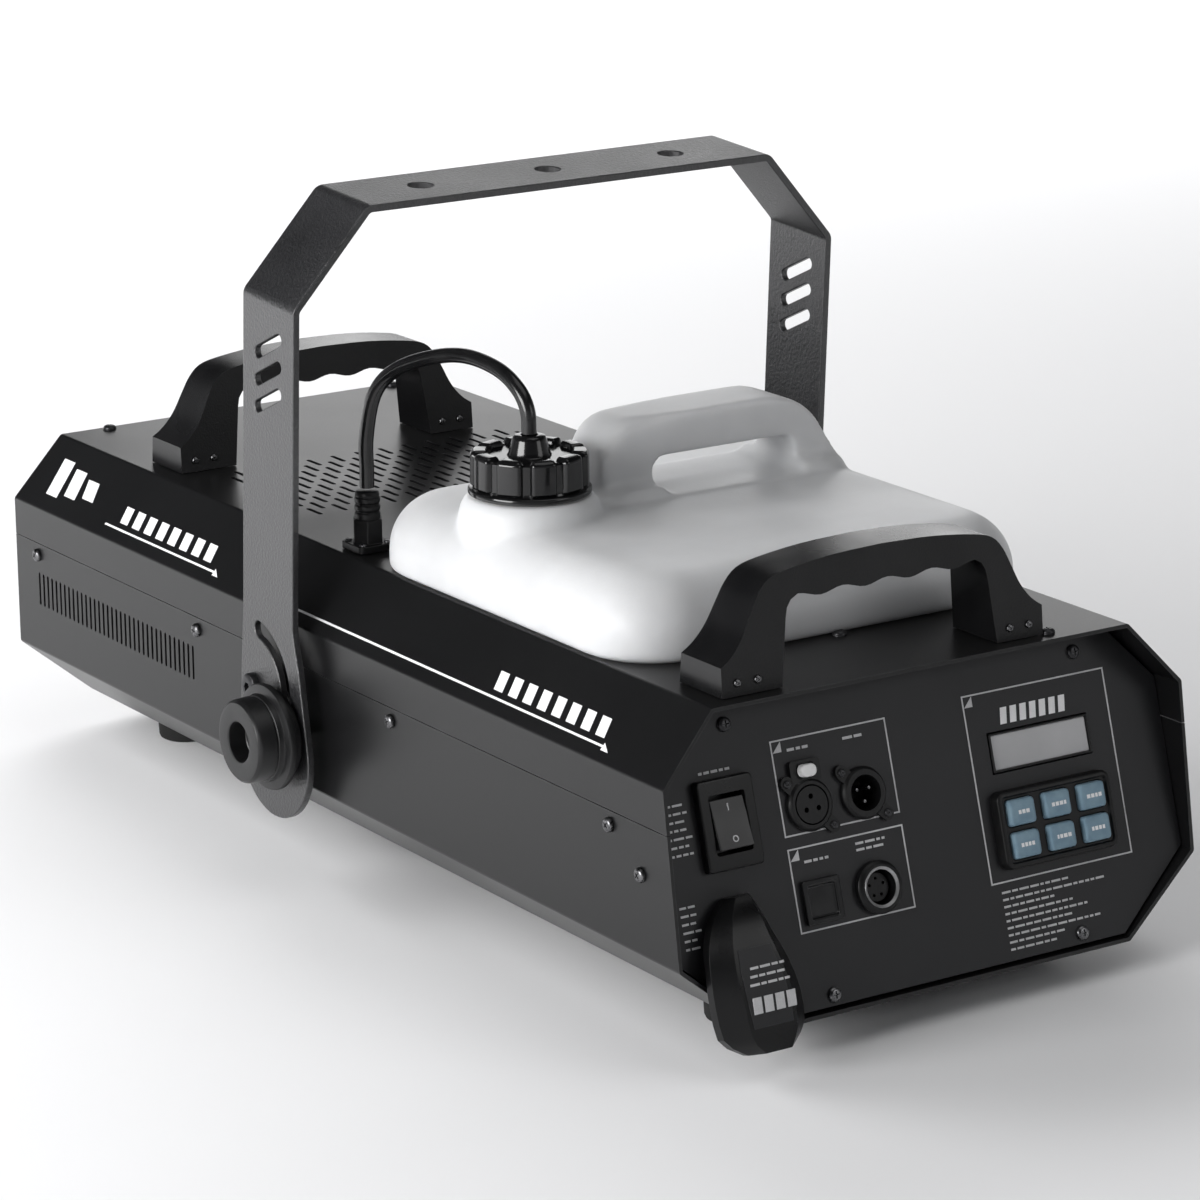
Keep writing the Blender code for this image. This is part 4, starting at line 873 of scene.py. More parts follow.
tankShape = {
    "halfX": 0.1215, "y": (-0.2500, -0.0080), "bulge": 0.0080, "rise": 0.041, "round": 0.030, "floor": 0.0494,
    "neck": (-0.0855, -0.1000), "corner": 0.034, "grain": 0.0019, "smoothing": 7,
    "grip": (-0.1035, -0.0665), "gripEdge": 0.0085,
    "finger": (0.0452, 0.0092, 0.0068), "fingerCentre": (0.0352, 0.0517),
}


def tankRing(out, height, crown=0.0):
    centre = sum(tankShape["y"]) / 2
    half = (tankShape["y"][1] - tankShape["y"][0]) / 2
    outline = roundedBox(tankShape["halfX"] + out, half + out, max(tankShape["corner"] + out, 0.006), 10,
                         (0, centre))
    return [(x, y, height + crown) for x, y in outline]


def tankBody():
    shoulder = deck + tankShape["rise"]
    big = tankShape["round"]
    bulge = tankShape["bulge"]
    levels = [(-0.012, deck - tankShape["floor"]), (-0.003, deck - tankShape["floor"] + 0.0012)]
    levels += [(0, deck - tankShape["floor"] + 0.006), (0, deck - 0.0005), (bulge - 0.0012, deck + 0.0010)]
    levels += [(bulge, deck + 0.0028), (bulge, deck + 0.0075)]
    for i in range(9):
        angle = radians(88 * i / 8)
        levels.append((bulge - big + big * cos(angle), shoulder - big + big * sin(angle)))
    levels.append((bulge - big - 0.030, shoulder + 0.0006))
    return loft([tankRing(out, height) for out, height in levels])


def gripSide():
    base = deck + tankShape["rise"] - 0.014
    points = [(-0.0450, base), (-0.0432, deck + 0.0600)]
    points += [(x, deck + z) for x, z in arc((-0.0205, 0.0605), 0.0225, 172, 95, 7)]
    points += [(0.0200, deck + 0.0830), (0.0600, deck + 0.0832)]
    points += [(x, deck + z) for x, z in arc((0.0640, 0.0430), 0.0400, 82, 28, 6)]
    points += [(0.1110, deck + 0.0440), (0.1205, base)]
    return points


def makeTank():
    shoulder = deck + tankShape["rise"]
    neckX, neckY = tankShape["neck"]
    grip = prism(gripSide(), "Y", *tankShape["grip"])
    edges = [edge for edge in grip.edges if abs(edge.verts[0].co.y - edge.verts[1].co.y) < 1e-6]
    bmesh.ops.bevel(grip, geom=edges, offset=tankShape["gripEdge"], segments=4, profile=0.5, affect="EDGES")
    root = loft([[(x * k + 0.030, y * k - 0.085, z) for x, y in roundedBox(0.082, 0.030, 0.020, 6)]
                 for z, k in ((shoulder - 0.010, 1.10), (shoulder + 0.0030, 1.02),
                              (shoulder + 0.0064, 0.90))])
    boss = lathe([(0, -0.020), (0.0388, -0.020), (0.0376, 0), (0.0362, 0.0060), (0.0340, 0.0098),
                  (0.0318, 0.0116),
                  (0, 0.0120)], "Z", (neckX, neckY, shoulder), 56)
    web = loft([[(x + 0.5 * (neckX - 0.045), y + neckY + 0.005, z) for x,
                 y in roundedBox(0.026 * k, 0.019 * k, 0.008, 5)]
                for z, k in ((shoulder - 0.010, 1.1), (shoulder + 0.0060, 0.95))])
    body = join(tankBody(), root, web, boss, grip)
    fingerX, fingerZ = tankShape["fingerCentre"]
    finger = prism(roundedBox(*tankShape["finger"], 6, (fingerX, deck + fingerZ)), "Y", -0.125, -0.045)
    body = cut(body, finger)
    tank = toObject("tankBody", body)
    remesh = tank.modifiers.new("fuse", "REMESH")
    remesh.mode = "VOXEL"
    remesh.voxel_size = tankShape["grain"]
    smooth = tank.modifiers.new("soften", "SMOOTH")
    smooth.factor = 0.5
    smooth.iterations = tankShape["smoothing"]
    applyAll(tank)
    tank.data.shade_smooth()
    tank.data.materials.append(paint["tankPlastic"])
    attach(tank, "tank")
    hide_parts("tank")


capShape = {"base": deck + 0.0532, "height": 0.0233, "ribs": 10, "ribDepth": 0.0024, "notch": 0.0022,
            "samples": 200}


def ribAt(angle):
    # 1 on a rib, 0 in the flute between ribs, with soft flanks
    wave = 0.5 + 0.5 * cos(capShape["ribs"] * angle)
    return min(1.0, max(0.0, (wave - 0.10) / 0.16))


def makeCap():
    neckX, neckY = tankShape["neck"]
    base = capShape["base"]
    top = capShape["height"]
    rings = []
    # height, radius, how much the ribs stand out, how much they rise
    levels = (
        (0.0, 0.0262, 0, 0), (0.0, 0.0314, 0, 0), (0.0006, 0.0322, 0, 0), (0.0026, 0.0322, 0, 0),
        (0.0034, 0.0315, 0, 0),
        (0.0036, 0.0290, 0, 0), (0.0046, 0.0286, 0.6, 0), (0.0054, 0.0286, 1, 0),
        (top - 0.0036, 0.0284, 1, 0),
        (top - 0.0024, 0.0282, 1, 0.5), (top - 0.0012, 0.0276, 0.9, 1.0), (top - 0.0006, 0.0266, 0.7, 1.2),
        (top - 0.0006, 0.0236, 0, 1.2), (top - 0.0012, 0.0226, 0, 1), (top - 0.0034, 0.0222, 0, 0),
        (top - 0.0038, 0.0120, 0, 0), (top - 0.0030, 0.0112, 0, 0), (top - 0.0010, 0.0106, 0, 0),
        (top + 0.0046, 0.0090, 0, 0), (top + 0.0062, 0.0084, 0, 0), (top + 0.0070, 0.0072, 0, 0),
        (top + 0.0070, 0.0046, 0, 0), (top + 0.0040, 0.0043, 0, 0),
    )
    for height, radius, stand, rise in levels:
        ring = []
        for i in range(capShape["samples"]):
            angle = 2 * pi * i / capShape["samples"]
            rib = ribAt(angle)
            reach = radius + capShape["ribDepth"] * rib * stand
            lift = -capShape["notch"] * (1 - rib) * min(rise, 1.0)
            ring.append((neckX + reach * cos(angle), neckY + reach * sin(angle), base + height + lift))
        rings.append(ring)
    place("capBody", loft(rings), "glossPlastic", "tank_cap", "black_plastic", replaced=("tank_cap",),
          angle=50)


makeTank()
makeCap()
print("tank ready")


# Suction hose and its fitting

hose = {
    "radius": 0.0040, "sides": 20,
    "route": (
        (-0.1125, 0.0200, deck + 0.0344), (-0.1125, 0.0198, deck + 0.0444), (-0.1125, 0.0195, deck + 0.0620),
        (-0.1110, 0.0130, deck + 0.0860), (-0.1060, 0.0000, deck + 0.1010), (-0.0980, -0.0240, deck + 0.1115),
        (-0.0915, -0.0480, deck + 0.1160), (-0.0880, -0.0740, deck + 0.1135),
        (-0.0865, -0.0910, deck + 0.1060),
        (-0.0855, -0.0985, deck + 0.0960), (-0.0855, -0.1000, deck + 0.0839),
    ),
}


def smoothLine(points, steps):
    points = [Vector(point) for point in points]
    padded = [2 * points[0] - points[1]] + points + [2 * points[-1] - points[-2]]
    result = []
    for i in range(1, len(padded) - 2):
        a, b, c, d = padded[i - 1:i + 3]
        for k in range(steps):
            t = k / steps
            result.append(0.5 * (2 * b + (c - a) * t + (2 * a - 5 * b + 4 * c - d) * t ** 2
                                 + (3 * b - a - 3 * c + d) * t ** 3))
    return result + [points[-1]]


def tubeMesh(line, radii, sides):
    # rings carried along the line without twist
    rings = []
    side = Vector((1, 0, 0))
    for i, point in enumerate(line):
        ahead = (line[min(i + 1, len(line) - 1)] - line[max(i - 1, 0)]).normalized()
        side = (side - ahead * side.dot(ahead)).normalized()
        other = ahead.cross(side)
        radius = radii[i] if isinstance(radii, list) else radii
        rings.append([point + radius * (cos(2 * pi * k / sides) * side + sin(2 * pi * k / sides) * other)
                      for k in range(sides)])
    return loft(rings)


def makeHose():
    line = smoothLine(hose["route"], 6)
    piece = toObject("suctionHose", tubeMesh(line, hose["radius"], hose["sides"]))
    piece.data.shade_smooth()
    piece.data.set_sharp_from_angle(angle=radians(40))
    piece.data.materials.append(paint["hoseRubber"])
    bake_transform(piece)
    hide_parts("hose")


def makeFitting():
    x, y = hose["route"][0][:2]
    base = deck + gap
    plate = prism(roundedBox(0.0110, 0.0110, 0.0030, 5, (x, y)), "Z", base, base + 0.0040)
    hexagon = prism([(x + 0.0088 * cos(radians(60 * i)),
                      y + 0.0088 * sin(radians(60 * i))) for i in range(6)], "Z",
                    base + 0.0030, base + 0.0170)
    barbs = [(0, 0.0160), (0.0068, 0.0160)]
    for i in range(3):
        level = 0.0180 + 0.0042 * i
        barbs += [(0.0070, level), (0.0070, level + 0.0020), (0.0062, level + 0.0030)]
    barbs += [(0.0068, 0.0300), (0.0062, 0.0318), (0.0050, 0.0325), (0, 0.0325)]
    body = join(plate, hexagon, lathe(barbs, "Z", (x, y, base), 40))
    place("hoseFitting", body, "fittingPlastic", "housing", "black_plastic", edge=0.0005,
          replaced=("hose_fitting",))
    for index, (dx, dy) in enumerate(((-0.0076, -0.0076), (0.0076, -0.0076), (0.0076, 0.0076),
                                      (-0.0076, 0.0076)), 1):
        addScrew(f"fittingScrew_{index}", (x + dx, y + dy, base + 0.0040), (0, 0, 1), scale=0.5,
                 spin=33 * index)


makeHose()
makeFitting()
print("hose ready")


# Carrying handles

handle = {
    "x": -0.018, "rear": -0.299, "front": 0.240, "depth": 0.036, "taper": 0.28,
    "outer": ((0.0980, 0.0150), (0.0925, 0.0188), (0.0875, 0.0240), (0.0835, 0.0300), (0.0790, 0.0392),
              (0.0745, 0.0476), (0.0680, 0.0540), (0.0560, 0.0572), (0.0300, 0.0602), (0.0, 0.0612)),
    "waves": 4, "waveHeight": 0.0013, "windowTop": 0.0430, "window": (-0.0585, 0.0640),
    "edge": 0.0080, "screws": (0.089, 0.077), "screwHeight": 0.0065,
}


def handleSide():
    curve = [(point.x, point.y) for point in smoothLine([(x, z, 0) for x, z in handle["outer"]], 3)]
    right = [(0.0980, 0.0)] + curve[:-1]
    outer = right + [(0.0, handle["outer"][-1][1])] + [(-x, z) for x, z in reversed(right)]
    count = 32
    waves = []
    start, end = handle["window"]
    top = handle["windowTop"]
    for i in range(count + 1):
        x = start + 0.0075 + (end - start - 0.0145) * i / count
        waves.append((x, top + handle["waveHeight"] * cos(2 * pi * handle["waves"] * i / count)))
    left = [(start - 0.0040, 0.0), (start - 0.0003, top - 0.0095), (start + 0.0008, top - 0.0045),
            (start + 0.0032, top - 0.0010)]
    right = [(end - 0.0030, top - 0.0010), (end - 0.0008, top - 0.0045), (end + 0.0004, top - 0.0095),
             (end + 0.0050, 0.0)]
    return outer + left + waves + right


def makeHandle(name, node, centreY):
    base = deck + gap
    half = handle["depth"] / 2
    outline = [(x + handle["x"], z + base) for x, z in handleSide()]
    bm = prism(outline, "Y", centreY - half, centreY + half)
    weight = bm.edges.layers.float.new("bevel_weight_edge")
    for edge in bm.edges:
        a, b = (vertex.co for vertex in edge.verts)
        if abs(a.y - b.y) > 0.001:
            continue
        middle = (a + b) / 2
        rise = middle.z - base
        spot = middle.x - handle["x"]
        near, far = handle["window"]
        inside = near - 0.005 < spot < far + 0.006 and rise < handle["windowTop"] + 0.003
        if rise < 0.0005:
            edge[weight] = 0.0
        else:
            edge[weight] = 0.30 if inside else (0.16 + 0.84 * min(1, max(0, (rise - 0.018) / 0.030)))
    for vertex in bm.verts:
        rise = (vertex.co.z - deck) / 0.061
        vertex.co.y = centreY + (vertex.co.y - centreY) * (1 - handle["taper"] * max(rise, 0))
    piece = toObject(name, bm)
    bevel = piece.modifiers.new("softEdges", "BEVEL")
    bevel.width = handle["edge"]
    bevel.segments = 5
    bevel.limit_method = "WEIGHT"
    applyAll(piece)
    piece.data.materials.append(paint["handlePlastic"])
    piece.data.materials.append(paint["handleFace"])
    for polygon in piece.data.polygons:
        polygon.material_index = 1 if abs(polygon.normal.y) > 0.93 else 0
    piece.data.shade_smooth()
    piece.data.set_sharp_from_angle(angle=radians(35))
    normals = piece.modifiers.new("evenNormals", "WEIGHTED_NORMAL")
    normals.keep_sharp = True
    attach(piece, "housing")
    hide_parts(node)
    for side in (-1, 1):
        for index, dx in enumerate(handle["screws"]):
            face = centreY - half * (1 - handle["taper"] * 0.006 / 0.061)
            spot = (handle["x"] + side * dx, face - 0.0001, base + handle["screwHeight"])
            word = "left" if side < 0 else "right"
            addScrew(f"{name}Screw_{word}_{index + 1}", spot, (0, -1, 0), scale=0.55, spin=20 * index + 15)


makeHandle("rearHandle", "handle_rear", handle["rear"])
makeHandle("frontHandle", "handle_front", handle["front"])
print("handles ready")


# Yoke: cut flat, then folded at its four bends

yoke = {
    "half": 0.1725, "bar": 0.053, "thick": 0.004, "offset": -0.0138, "bendZ": 0.2180, "topZ": 0.2690,
    "bendX": 0.0445,
    "bendRadius": 0.0075, "bendSteps": 7, "pad": (-0.0205, -0.0300), "padRadius": 0.0375,
    "holes": (-0.080, 0.0, 0.080), "holeRadius": 0.0070,
    # curved clamp slot: from an upright start to past the stud; slanted leg slots: top, pitch, size, angle
    "arcStart": 98, "arcPast": 38, "arcHalf": 0.00475, "boltHole": 0.0046,
    "legSlots": 3, "legSlotTop": 0.1930, "legSlotPitch": 0.0148, "legSlotSize": (0.0305, 0.0065),
    "legSlotAngle": 152,
}


def yokeFlat():
    # (along, across) with along = 0 at the middle of the top bar
    slope = math.hypot(yoke["bendX"], yoke["topZ"] - yoke["bendZ"])
    firstBend = yoke["half"] - yoke["bendX"]
    lastBend = firstBend + slope

    def along(z):
        return lastBend + yoke["bendZ"] - z

    near = yoke["offset"] - yoke["bar"] / 2
    far = yoke["offset"] + yoke["bar"] / 2
    side = [(far, 0.060), (far, 0.042), (far + 0.0002, 0.036), (far + 0.0018, 0.004), (far + 0.0020, -0.010)]
    side += arc(yoke["pad"], yoke["padRadius"], 5, -190, 30)
    side += [(near - 0.0078, 0.0165), (near - 0.0066, 0.0215), (near - 0.0012, 0.0380), (near, 0.0440),
             (near, 0.060)]
    right = [(along(z), y) for y, z in side]
    outline = right + [(-s, y) for s, y in reversed(right)]
    bm = prism(outline, "Z", 0, yoke["thick"])
    tools = []
    for sign in (-1, 1):
        start, half, middle = yoke["arcStart"], yoke["arcHalf"], pivot["slotRadius"]
        end = pivot["studAngle"] - pivot["lean"] + yoke["arcPast"]
        arcSlot = arc((0, 0), middle + half, start, end, 26)
        arcSlot += arc(arc((0, 0), middle, end, end, 1)[0], half, end, end + 180, 7)[1:-1]
        arcSlot += arc((0, 0), middle - half, end, start, 26)
        arcSlot += arc(arc((0, 0), middle, start, start, 1)[0], half, start + 180, start + 360, 7)[1:-1]
        shapes = [arcSlot, arc((0, 0), yoke["boltHole"], 0, 345, 23)]
        for i in range(yoke["legSlots"]):
            height = yoke["legSlotTop"] - yoke["legSlotPitch"] * i
            shapes.append(softSlot(yoke["offset"], height, *yoke["legSlotSize"], yoke["legSlotAngle"], 8))
        for outlineYz in shapes:
            tools.append(prism([(sign * along(z), y) for y, z in outlineYz], "Z", -0.004, 0.008))
    for x in yoke["holes"]:
        tools.append(rod(yoke["holeRadius"], -0.004, 0.008, "Z",
                           (x, yoke["offset"], 0), 40))
    return cut(bm, *tools), firstBend, lastBend


def makeYoke():
    bm, firstBend, lastBend = yokeFlat()
    corners = (Vector((yoke["half"] - yoke["bendX"], yoke["topZ"])), Vector((yoke["half"], yoke["bendZ"])))
    down = corners[1] - corners[0]
    fold = [math.atan2(-down.y, down.x), pi / 2 - math.atan2(-down.y, down.x)]
    radius = yoke["bendRadius"]
    reach = [radius * math.tan(angle / 2) for angle in fold]
    stops = []
    for bend, length in ((firstBend, reach[0]), (lastBend, reach[1])):
        for k in range(yoke["bendSteps"] + 1):
            stops.append(bend - length + 2 * length * k / yoke["bendSteps"])
    for stop in stops:
        for sign in (-1, 1):
            geometry = list(bm.verts) + list(bm.edges) + list(bm.faces)
            bmesh.ops.bisect_plane(bm, geom=geometry, dist=1e-6, plane_co=(sign * stop, 0, 0),
                                   plane_no=(1, 0, 0))

    def folded(distance, depth):
        # distance along the outer face from the middle, depth in from that face
        headings = [0.0, fold[0], fold[0] + fold[1]]
        bends = (firstBend, lastBend)
        for i in range(2):
            heading = headings[i]
            forward = Vector((cos(heading), -sin(heading)))
            inward = Vector((-sin(heading), -cos(heading)))
            start = corners[i] - forward * reach[i]
            if distance <= bends[i] - reach[i]:
                return corners[i] + forward * (distance - bends[i]) + inward * depth
            if distance <= bends[i] + reach[i]:
                turn = heading + fold[i] * (distance - bends[i] + reach[i]) / (2 * reach[i])
                middle = start + inward * radius
                outward = Vector((sin(turn), cos(turn)))
                return middle + outward * (radius - depth)
        heading = headings[2]
        forward = Vector((cos(heading), -sin(heading)))
        inward = Vector((-sin(heading), -cos(heading)))
        return corners[1] + forward * (distance - lastBend) + inward * depth

    for vertex in bm.verts:
        sign = -1 if vertex.co.x < 0 else 1
        flat = folded(abs(vertex.co.x), vertex.co.z)
        vertex.co = Vector((sign * flat.x, vertex.co.y, flat.y))
    matrix = Matrix.Translation((0, pivot["y"], pivot["z"])) @ Matrix.Rotation(radians(pivot["lean"]), 4, "X")
    place("yokeBand", bm, "yokePaint", "yoke", "yoke_steel", edge=0.0006, segments=2, replaced=("yoke",),
          matrix=matrix)


def sided(profile, side):
    return [(radius, side * height) for radius, height in profile]


knob = {"outside": 0.1729, "grooves": 0.0006}


def makeYokeHardware():
    outside = knob["outside"]
    start = outside + 0.0052
    for side, word in ((-1, "left"), (1, "right")):
        head = [(0, 0.1500), (0.0040, 0.1500), (0.0040, outside), (0.0075, outside),
                (0.0075, outside + 0.0026)]
        head += [(0.0070, outside + 0.0036), (0.0058, outside + 0.0043), (0.0042, outside + 0.0044),
                 (0, outside + 0.0044)]
        bolt = lathe(sided(head, side), "X", (0, pivot["y"], pivot["z"]), 40)
        hexagon = [(pivot["y"] + 0.0029 * cos(radians(60 * i)),
                    pivot["z"] + 0.0029 * sin(radians(60 * i))) for i in range(6)]
        low, high = sorted((side * (outside + 0.0016), side * (outside + 0.0080)))
        place(f"pivotBolt_{word}", cut(bolt, prism(hexagon, "X", low, high)), "blackScrew", "housing",
              "plain_steel",
              replaced=(f"pivot_bolt_{word}",))
        body = [(0.0046, outside), (0.0230, outside), (0.0240, outside + 0.0008), (0.0240, start),
                (0.0278, start)]
        body += [(0.0287, start + 0.0005), (0.0290, start + 0.0014), (0.0290, start + 0.0036),
                 (0.0285, start + 0.0044)]
        body += [(0.0262, start + 0.0050), (0.0240, start + 0.0052), (0.0235, start + 0.0060),
                 (0.0233, start + 0.0080)]
        body += [(0.0233 - knob["grooves"], start + 0.0084), (0.0233 - knob["grooves"], start + 0.0092)]
        body += [(0.0232, start + 0.0096), (0.0228, start + 0.0176), (0.0224, start + 0.0190),
                 (0.0212, start + 0.0202)]
        body += [(0.0196, start + 0.0205), (0.0122, start + 0.0205), (0.0112, start + 0.0200),
                 (0.0108, start + 0.0188)]
        body += [(0.0102, start + 0.0104), (0.0096, start + 0.0100), (0, start + 0.0100),
                 (0, outside + 0.0046)]
        body += [(0.0046, outside + 0.0046)]
        place(f"clampKnob_{word}", lathe(sided(body, side), "X", (0, *stud), 72), "knobPlastic",
              f"clamp_knob_{word}",
              "black_plastic", replaced=(f"clamp_knob_{word}",))


makeYoke()
makeYokeHardware()
print("yoke ready")


# Control panel. Its own frame: x across, y into the machine, z up the plate

panel = {
    "lean": 16.5, "origin": (0, housing["rear"] + 0.0012, ground), "ink": 0.00012,
    "switch": (-0.1160, 0.1030), "plugOut": (-0.0667, 0.1030), "plugIn": (-0.0340, 0.1030),
    "remote": (-0.0685, 0.0560), "wireless": (-0.0345, 0.0560), "screen": (0.0785, 0.1080),
    "keypad": (0.0780, 0.0690), "keyPitch": (0.0225, 0.0165), "keySize": (0.0165, 0.0135),
    "socketRadius": 0.0118,
}
panelMatrix = Matrix.Translation(panel["origin"]) @ Matrix.Rotation(radians(-panel["lean"]), 4, "X")
upPlate = 1 / cos(radians(panel["lean"]))


def onPanel(name, bm, finish, slotName, body="housing", **options):
    return place(name, bm, finish, body, slotName, matrix=panelMatrix, **options)


def panelScrew(name, x, z, y=0.0, **options):
    facing = panelMatrix.to_3x3() @ Vector((0, -1, 0))
    return addScrew(name, panelMatrix @ Vector((x, y, z)), facing, **options)


def makePlate():
    half = housing["halfWidth"] - 0.0024
    low, high = 0.0038 * upPlate, (0.160 - 0.0032) * upPlate
    foot, brow = housing["lowChamfer"], housing["topChamfer"]
    right = [(housing["halfWidth"] - foot[0] - 0.0015, low), (half, (foot[1] + 0.0022) * upPlate)]
    right += [(half, (0.160 - brow[1] - 0.002) * upPlate), (housing["halfWidth"] - brow[0] - 0.0020, high)]
    plate = prism(right + [(-x, z) for x, z in reversed(right)], "Y", 0, 0.002)
    tools = []
    for key in ("plugOut", "plugIn", "wireless"):
        x, z = panel[key]
        radius = panel["socketRadius"] + gap
        tools.append(rod(radius, -0.004, 0.008, "Y", (x, 0, z), 40))
    for key, halfX, halfZ in (("switch", 0.0128, 0.0165), ("remote", 0.0086, 0.0086),
                              ("screen", 0.0320, 0.0105),
                              ("keypad", 0.0330, 0.0165)):
        x, z = panel[key]
        tools.append(block((x - halfX, -0.004, z - halfZ), (x + halfX, 0.008, z + halfZ)))
    tools.append(block((-0.1240, -0.004, 0.0200), (-0.1000, 0.008, 0.0400)))
    onPanel("controlPlate", cut(plate, *tools), "panelPaint", "panel_black", edge=0.0003,
            replaced=("rear_panel",))


def inkBar(low, high):
    return block((low[0], -panel["ink"], low[1]), (high[0], 0.0002, high[1]))


def inkFrame(left, right, low, high, width=0.0008):
    outer = [(left, low), (right, low), (right, high), (left, high)]
    inner = [(left + width, low + width), (right - width, low + width), (right - width, high - width),
             (left + width, high - width)]
    bm = bmesh.new()
    rings = []
    for y in (-panel["ink"], 0.0002):
        rings.append([[bm.verts.new((x, y, z)) for x, z in ring] for ring in (outer, inner)])
    for i in range(4):
        j = (i + 1) % 4
        for near, far in ((rings[0][0], rings[0][1]), (rings[1][0], rings[1][1]), (rings[0][0], rings[1][0]),
                          (rings[0][1], rings[1][1])):
            bm.faces.new((near[i], near[j], far[j], far[i]))
    return bm


def inkLines(left, right, top, rows, pitch, thick, shortest=0.55):
    # rows of short dashes stand for a block of small print
    bars = []
    for row in range(rows):
        z = top - row * pitch
        stop = left + (right - left) * random.uniform(shortest, 1.0)
        x = left
        while x < stop - 0.0015:
            width = min(random.uniform(0.0020, 0.0060), stop - x)
            bars.append(inkBar((x, z - thick), (x + width, z)))
            x += width + 0.0011
    return bars


panelPrint = {
    # frames: left, right, bottom, top before the plate's slope is counted
    "frames": ((0.0344, 0.1253, 0.0416, 0.1336), (-0.0834, -0.0135, 0.0858, 0.1315),
               (-0.0833, -0.0134, 0.0401, 0.0802)),
    "corner": 0.0062, "title": (0.0560, 0.1165, 0.1245), "titleBars": 7, "titlePitch": 0.0062,
    "titleBar": 0.0040,
    "titleSlant": 0.0012, "depth": 0.0002,
    # small print: left, right, top, rows, pitch, thickness, shortest row
    "lines": ((-0.1500, -0.1345, 0.1120, 7, 0.0040, 0.0011, 0.7),
              (-0.1500, -0.1395, 0.0650, 6, 0.0040, 0.0011, 0.7),
              (0.0400, 0.1060, 0.0375, 9, 0.0036, 0.0011, 0.40),
              (-0.1270, -0.1060, 0.1240, 1, 0.004, 0.0013, 0.98),
              (-0.0740, -0.0600, 0.1265, 1, 0.004, 0.0014, 0.98),
              (-0.0405, -0.0275, 0.1265, 1, 0.004, 0.0014, 0.98),
              (-0.0745, -0.0600, 0.0735, 1, 0.004, 0.0013, 0.98),
              (-0.0430, -0.0250, 0.0765, 2, 0.0032, 0.0012, 0.85)),
}


def makePrint():
    front, back = -panel["ink"], panelPrint["depth"]
    size = panelPrint["corner"]
    bars = []
    for left, right, low, high in panelPrint["frames"]:
        top = high * upPlate
        bars.append(inkFrame(left, right, low * upPlate, top))
        corner = [(left + 0.0010, top - size), (left + size, top - size), (left + size, top - 0.0010)]
        bars.append(prism(corner, "Y", front, back))
    title = []
    start, low, high = panelPrint["title"]
    low, high = low * upPlate, high * upPlate
    width, slant = panelPrint["titleBar"], panelPrint["titleSlant"]
    for index in range(panelPrint["titleBars"]):
        x = start + panelPrint["titlePitch"] * index
        bar = [(x, low), (x + width, low), (x + width + slant, high), (x + slant, high)]
        title.append(prism(bar, "Y", front, back))
    onPanel("panelTitle", merged(title), "stripeInk", "display_grey")
    for left, right, top, rows, pitch, thick, shortest in panelPrint["lines"]:
        bars += inkLines(left, right, top * upPlate, rows, pitch, thick, shortest)
    onPanel("panelPrint", merged(bars), "legendInk", "display_grey")


def makePlugSockets():
    radius = panel["socketRadius"]
    for key, node, pins in (("plugOut", "dmx_out_socket", False), ("plugIn", "dmx_in_socket", True)):
        x, z = panel[key]
        parts = [lathe([(0, 0), (radius + 0.0014, 0), (radius + 0.0014, -0.0012), (radius + 0.0008, -0.0022),
                        (radius - 0.0002, -0.0030), (0, -0.0030)], "Y", (x, -gap, z), 56)]
        for sign in (-1, 1):
            ear = softSlot(x + sign * 0.0098, z - sign * 0.0102, 0.0130, 0.0072, 134, 7)
            parts.append(prism(ear, "Y", -gap - 0.0018, -gap))
        if not pins:
            parts.append(prism(roundedBox(0.0090, 0.0056, 0.0018, 5, (x, z + 0.0168)), "Y", -gap - 0.0020,
                               -gap - 0.0001))
        parts.append(rod(radius, -0.0010, 0.0200, "Y", (x, -gap, z), 48))
        body = join(*parts)
        tools = []
        spots = [(0.0042 * cos(radians(a)), 0.0042 * sin(radians(a))) for a in (-150, -30, 90)]
        if pins:
            spots = [(dx, -dz) for dx, dz in spots]
            tools.append(lathe([(0, -0.010), (0.0093, -0.010), (0.0089, -0.0015), (0.0089, 0.0120),
                                (0, 0.0120)], "Y",
                               (x, 0, z), 48))
        else:
            ring = [(0.0092, -0.010), (0.0100, -0.010), (0.0100, 0.0060), (0.0092, 0.0060)]
            tools.append(lathe(ring, "Y", (x, 0, z), 48))
            for dx, dz in spots:
                tools.append(lathe([(0, -0.010), (0.0017, -0.010), (0.0013, -0.0020), (0.0013, 0.0100),
                                    (0, 0.0100)], "Y",
                                   (x + dx, 0, z + dz), 18))
            tools.append(prism(roundedBox(0.0052, 0.0038, 0.0012, 4, (x, z + 0.0170)), "Y", -0.010, 0.0005))
        onPanel(f"{key}Socket", cut(body, *tools), "fittingPlastic", "black_plastic", edge=0.00025,
                replaced=(node,))
        if pins:
            posts = [lathe([(0, 0.0130), (0.0012, 0.0130), (0.0012, -0.0004), (0.0008, -0.0013),
                            (0, -0.0015)], "Y",
                           (x + dx, 0, z + dz), 18) for dx, dz in spots]
            onPanel("plugInPins", merged(posts), "screwSteel", "bright_steel")
        for sign in (-1, 1):
            panelScrew(f"{key}Screw_{'a' if sign < 0 else 'b'}", x + sign * 0.0118, z - sign * 0.0120,
                       -gap - 0.0018,
                       finish="blackScrew", slotName="black_steel", scale=0.55, spin=30)
    x, z = panel["plugOut"]
    tab = []
    for level, scale in ((-0.0020, 1.0), (-0.0052, 1.0), (-0.0059, 0.93), (-0.0062, 0.78)):
        tab.append([(x + u * scale, level, z + 0.0170 + v * scale) for u,
                    v in roundedBox(0.0046, 0.0032, 0.0030, 7)])
    onPanel("releaseTab", loft(tab), "whiteTab", "display_grey", body="dmx_out_latch",
            replaced=("dmx_out_latch",), angle=50)


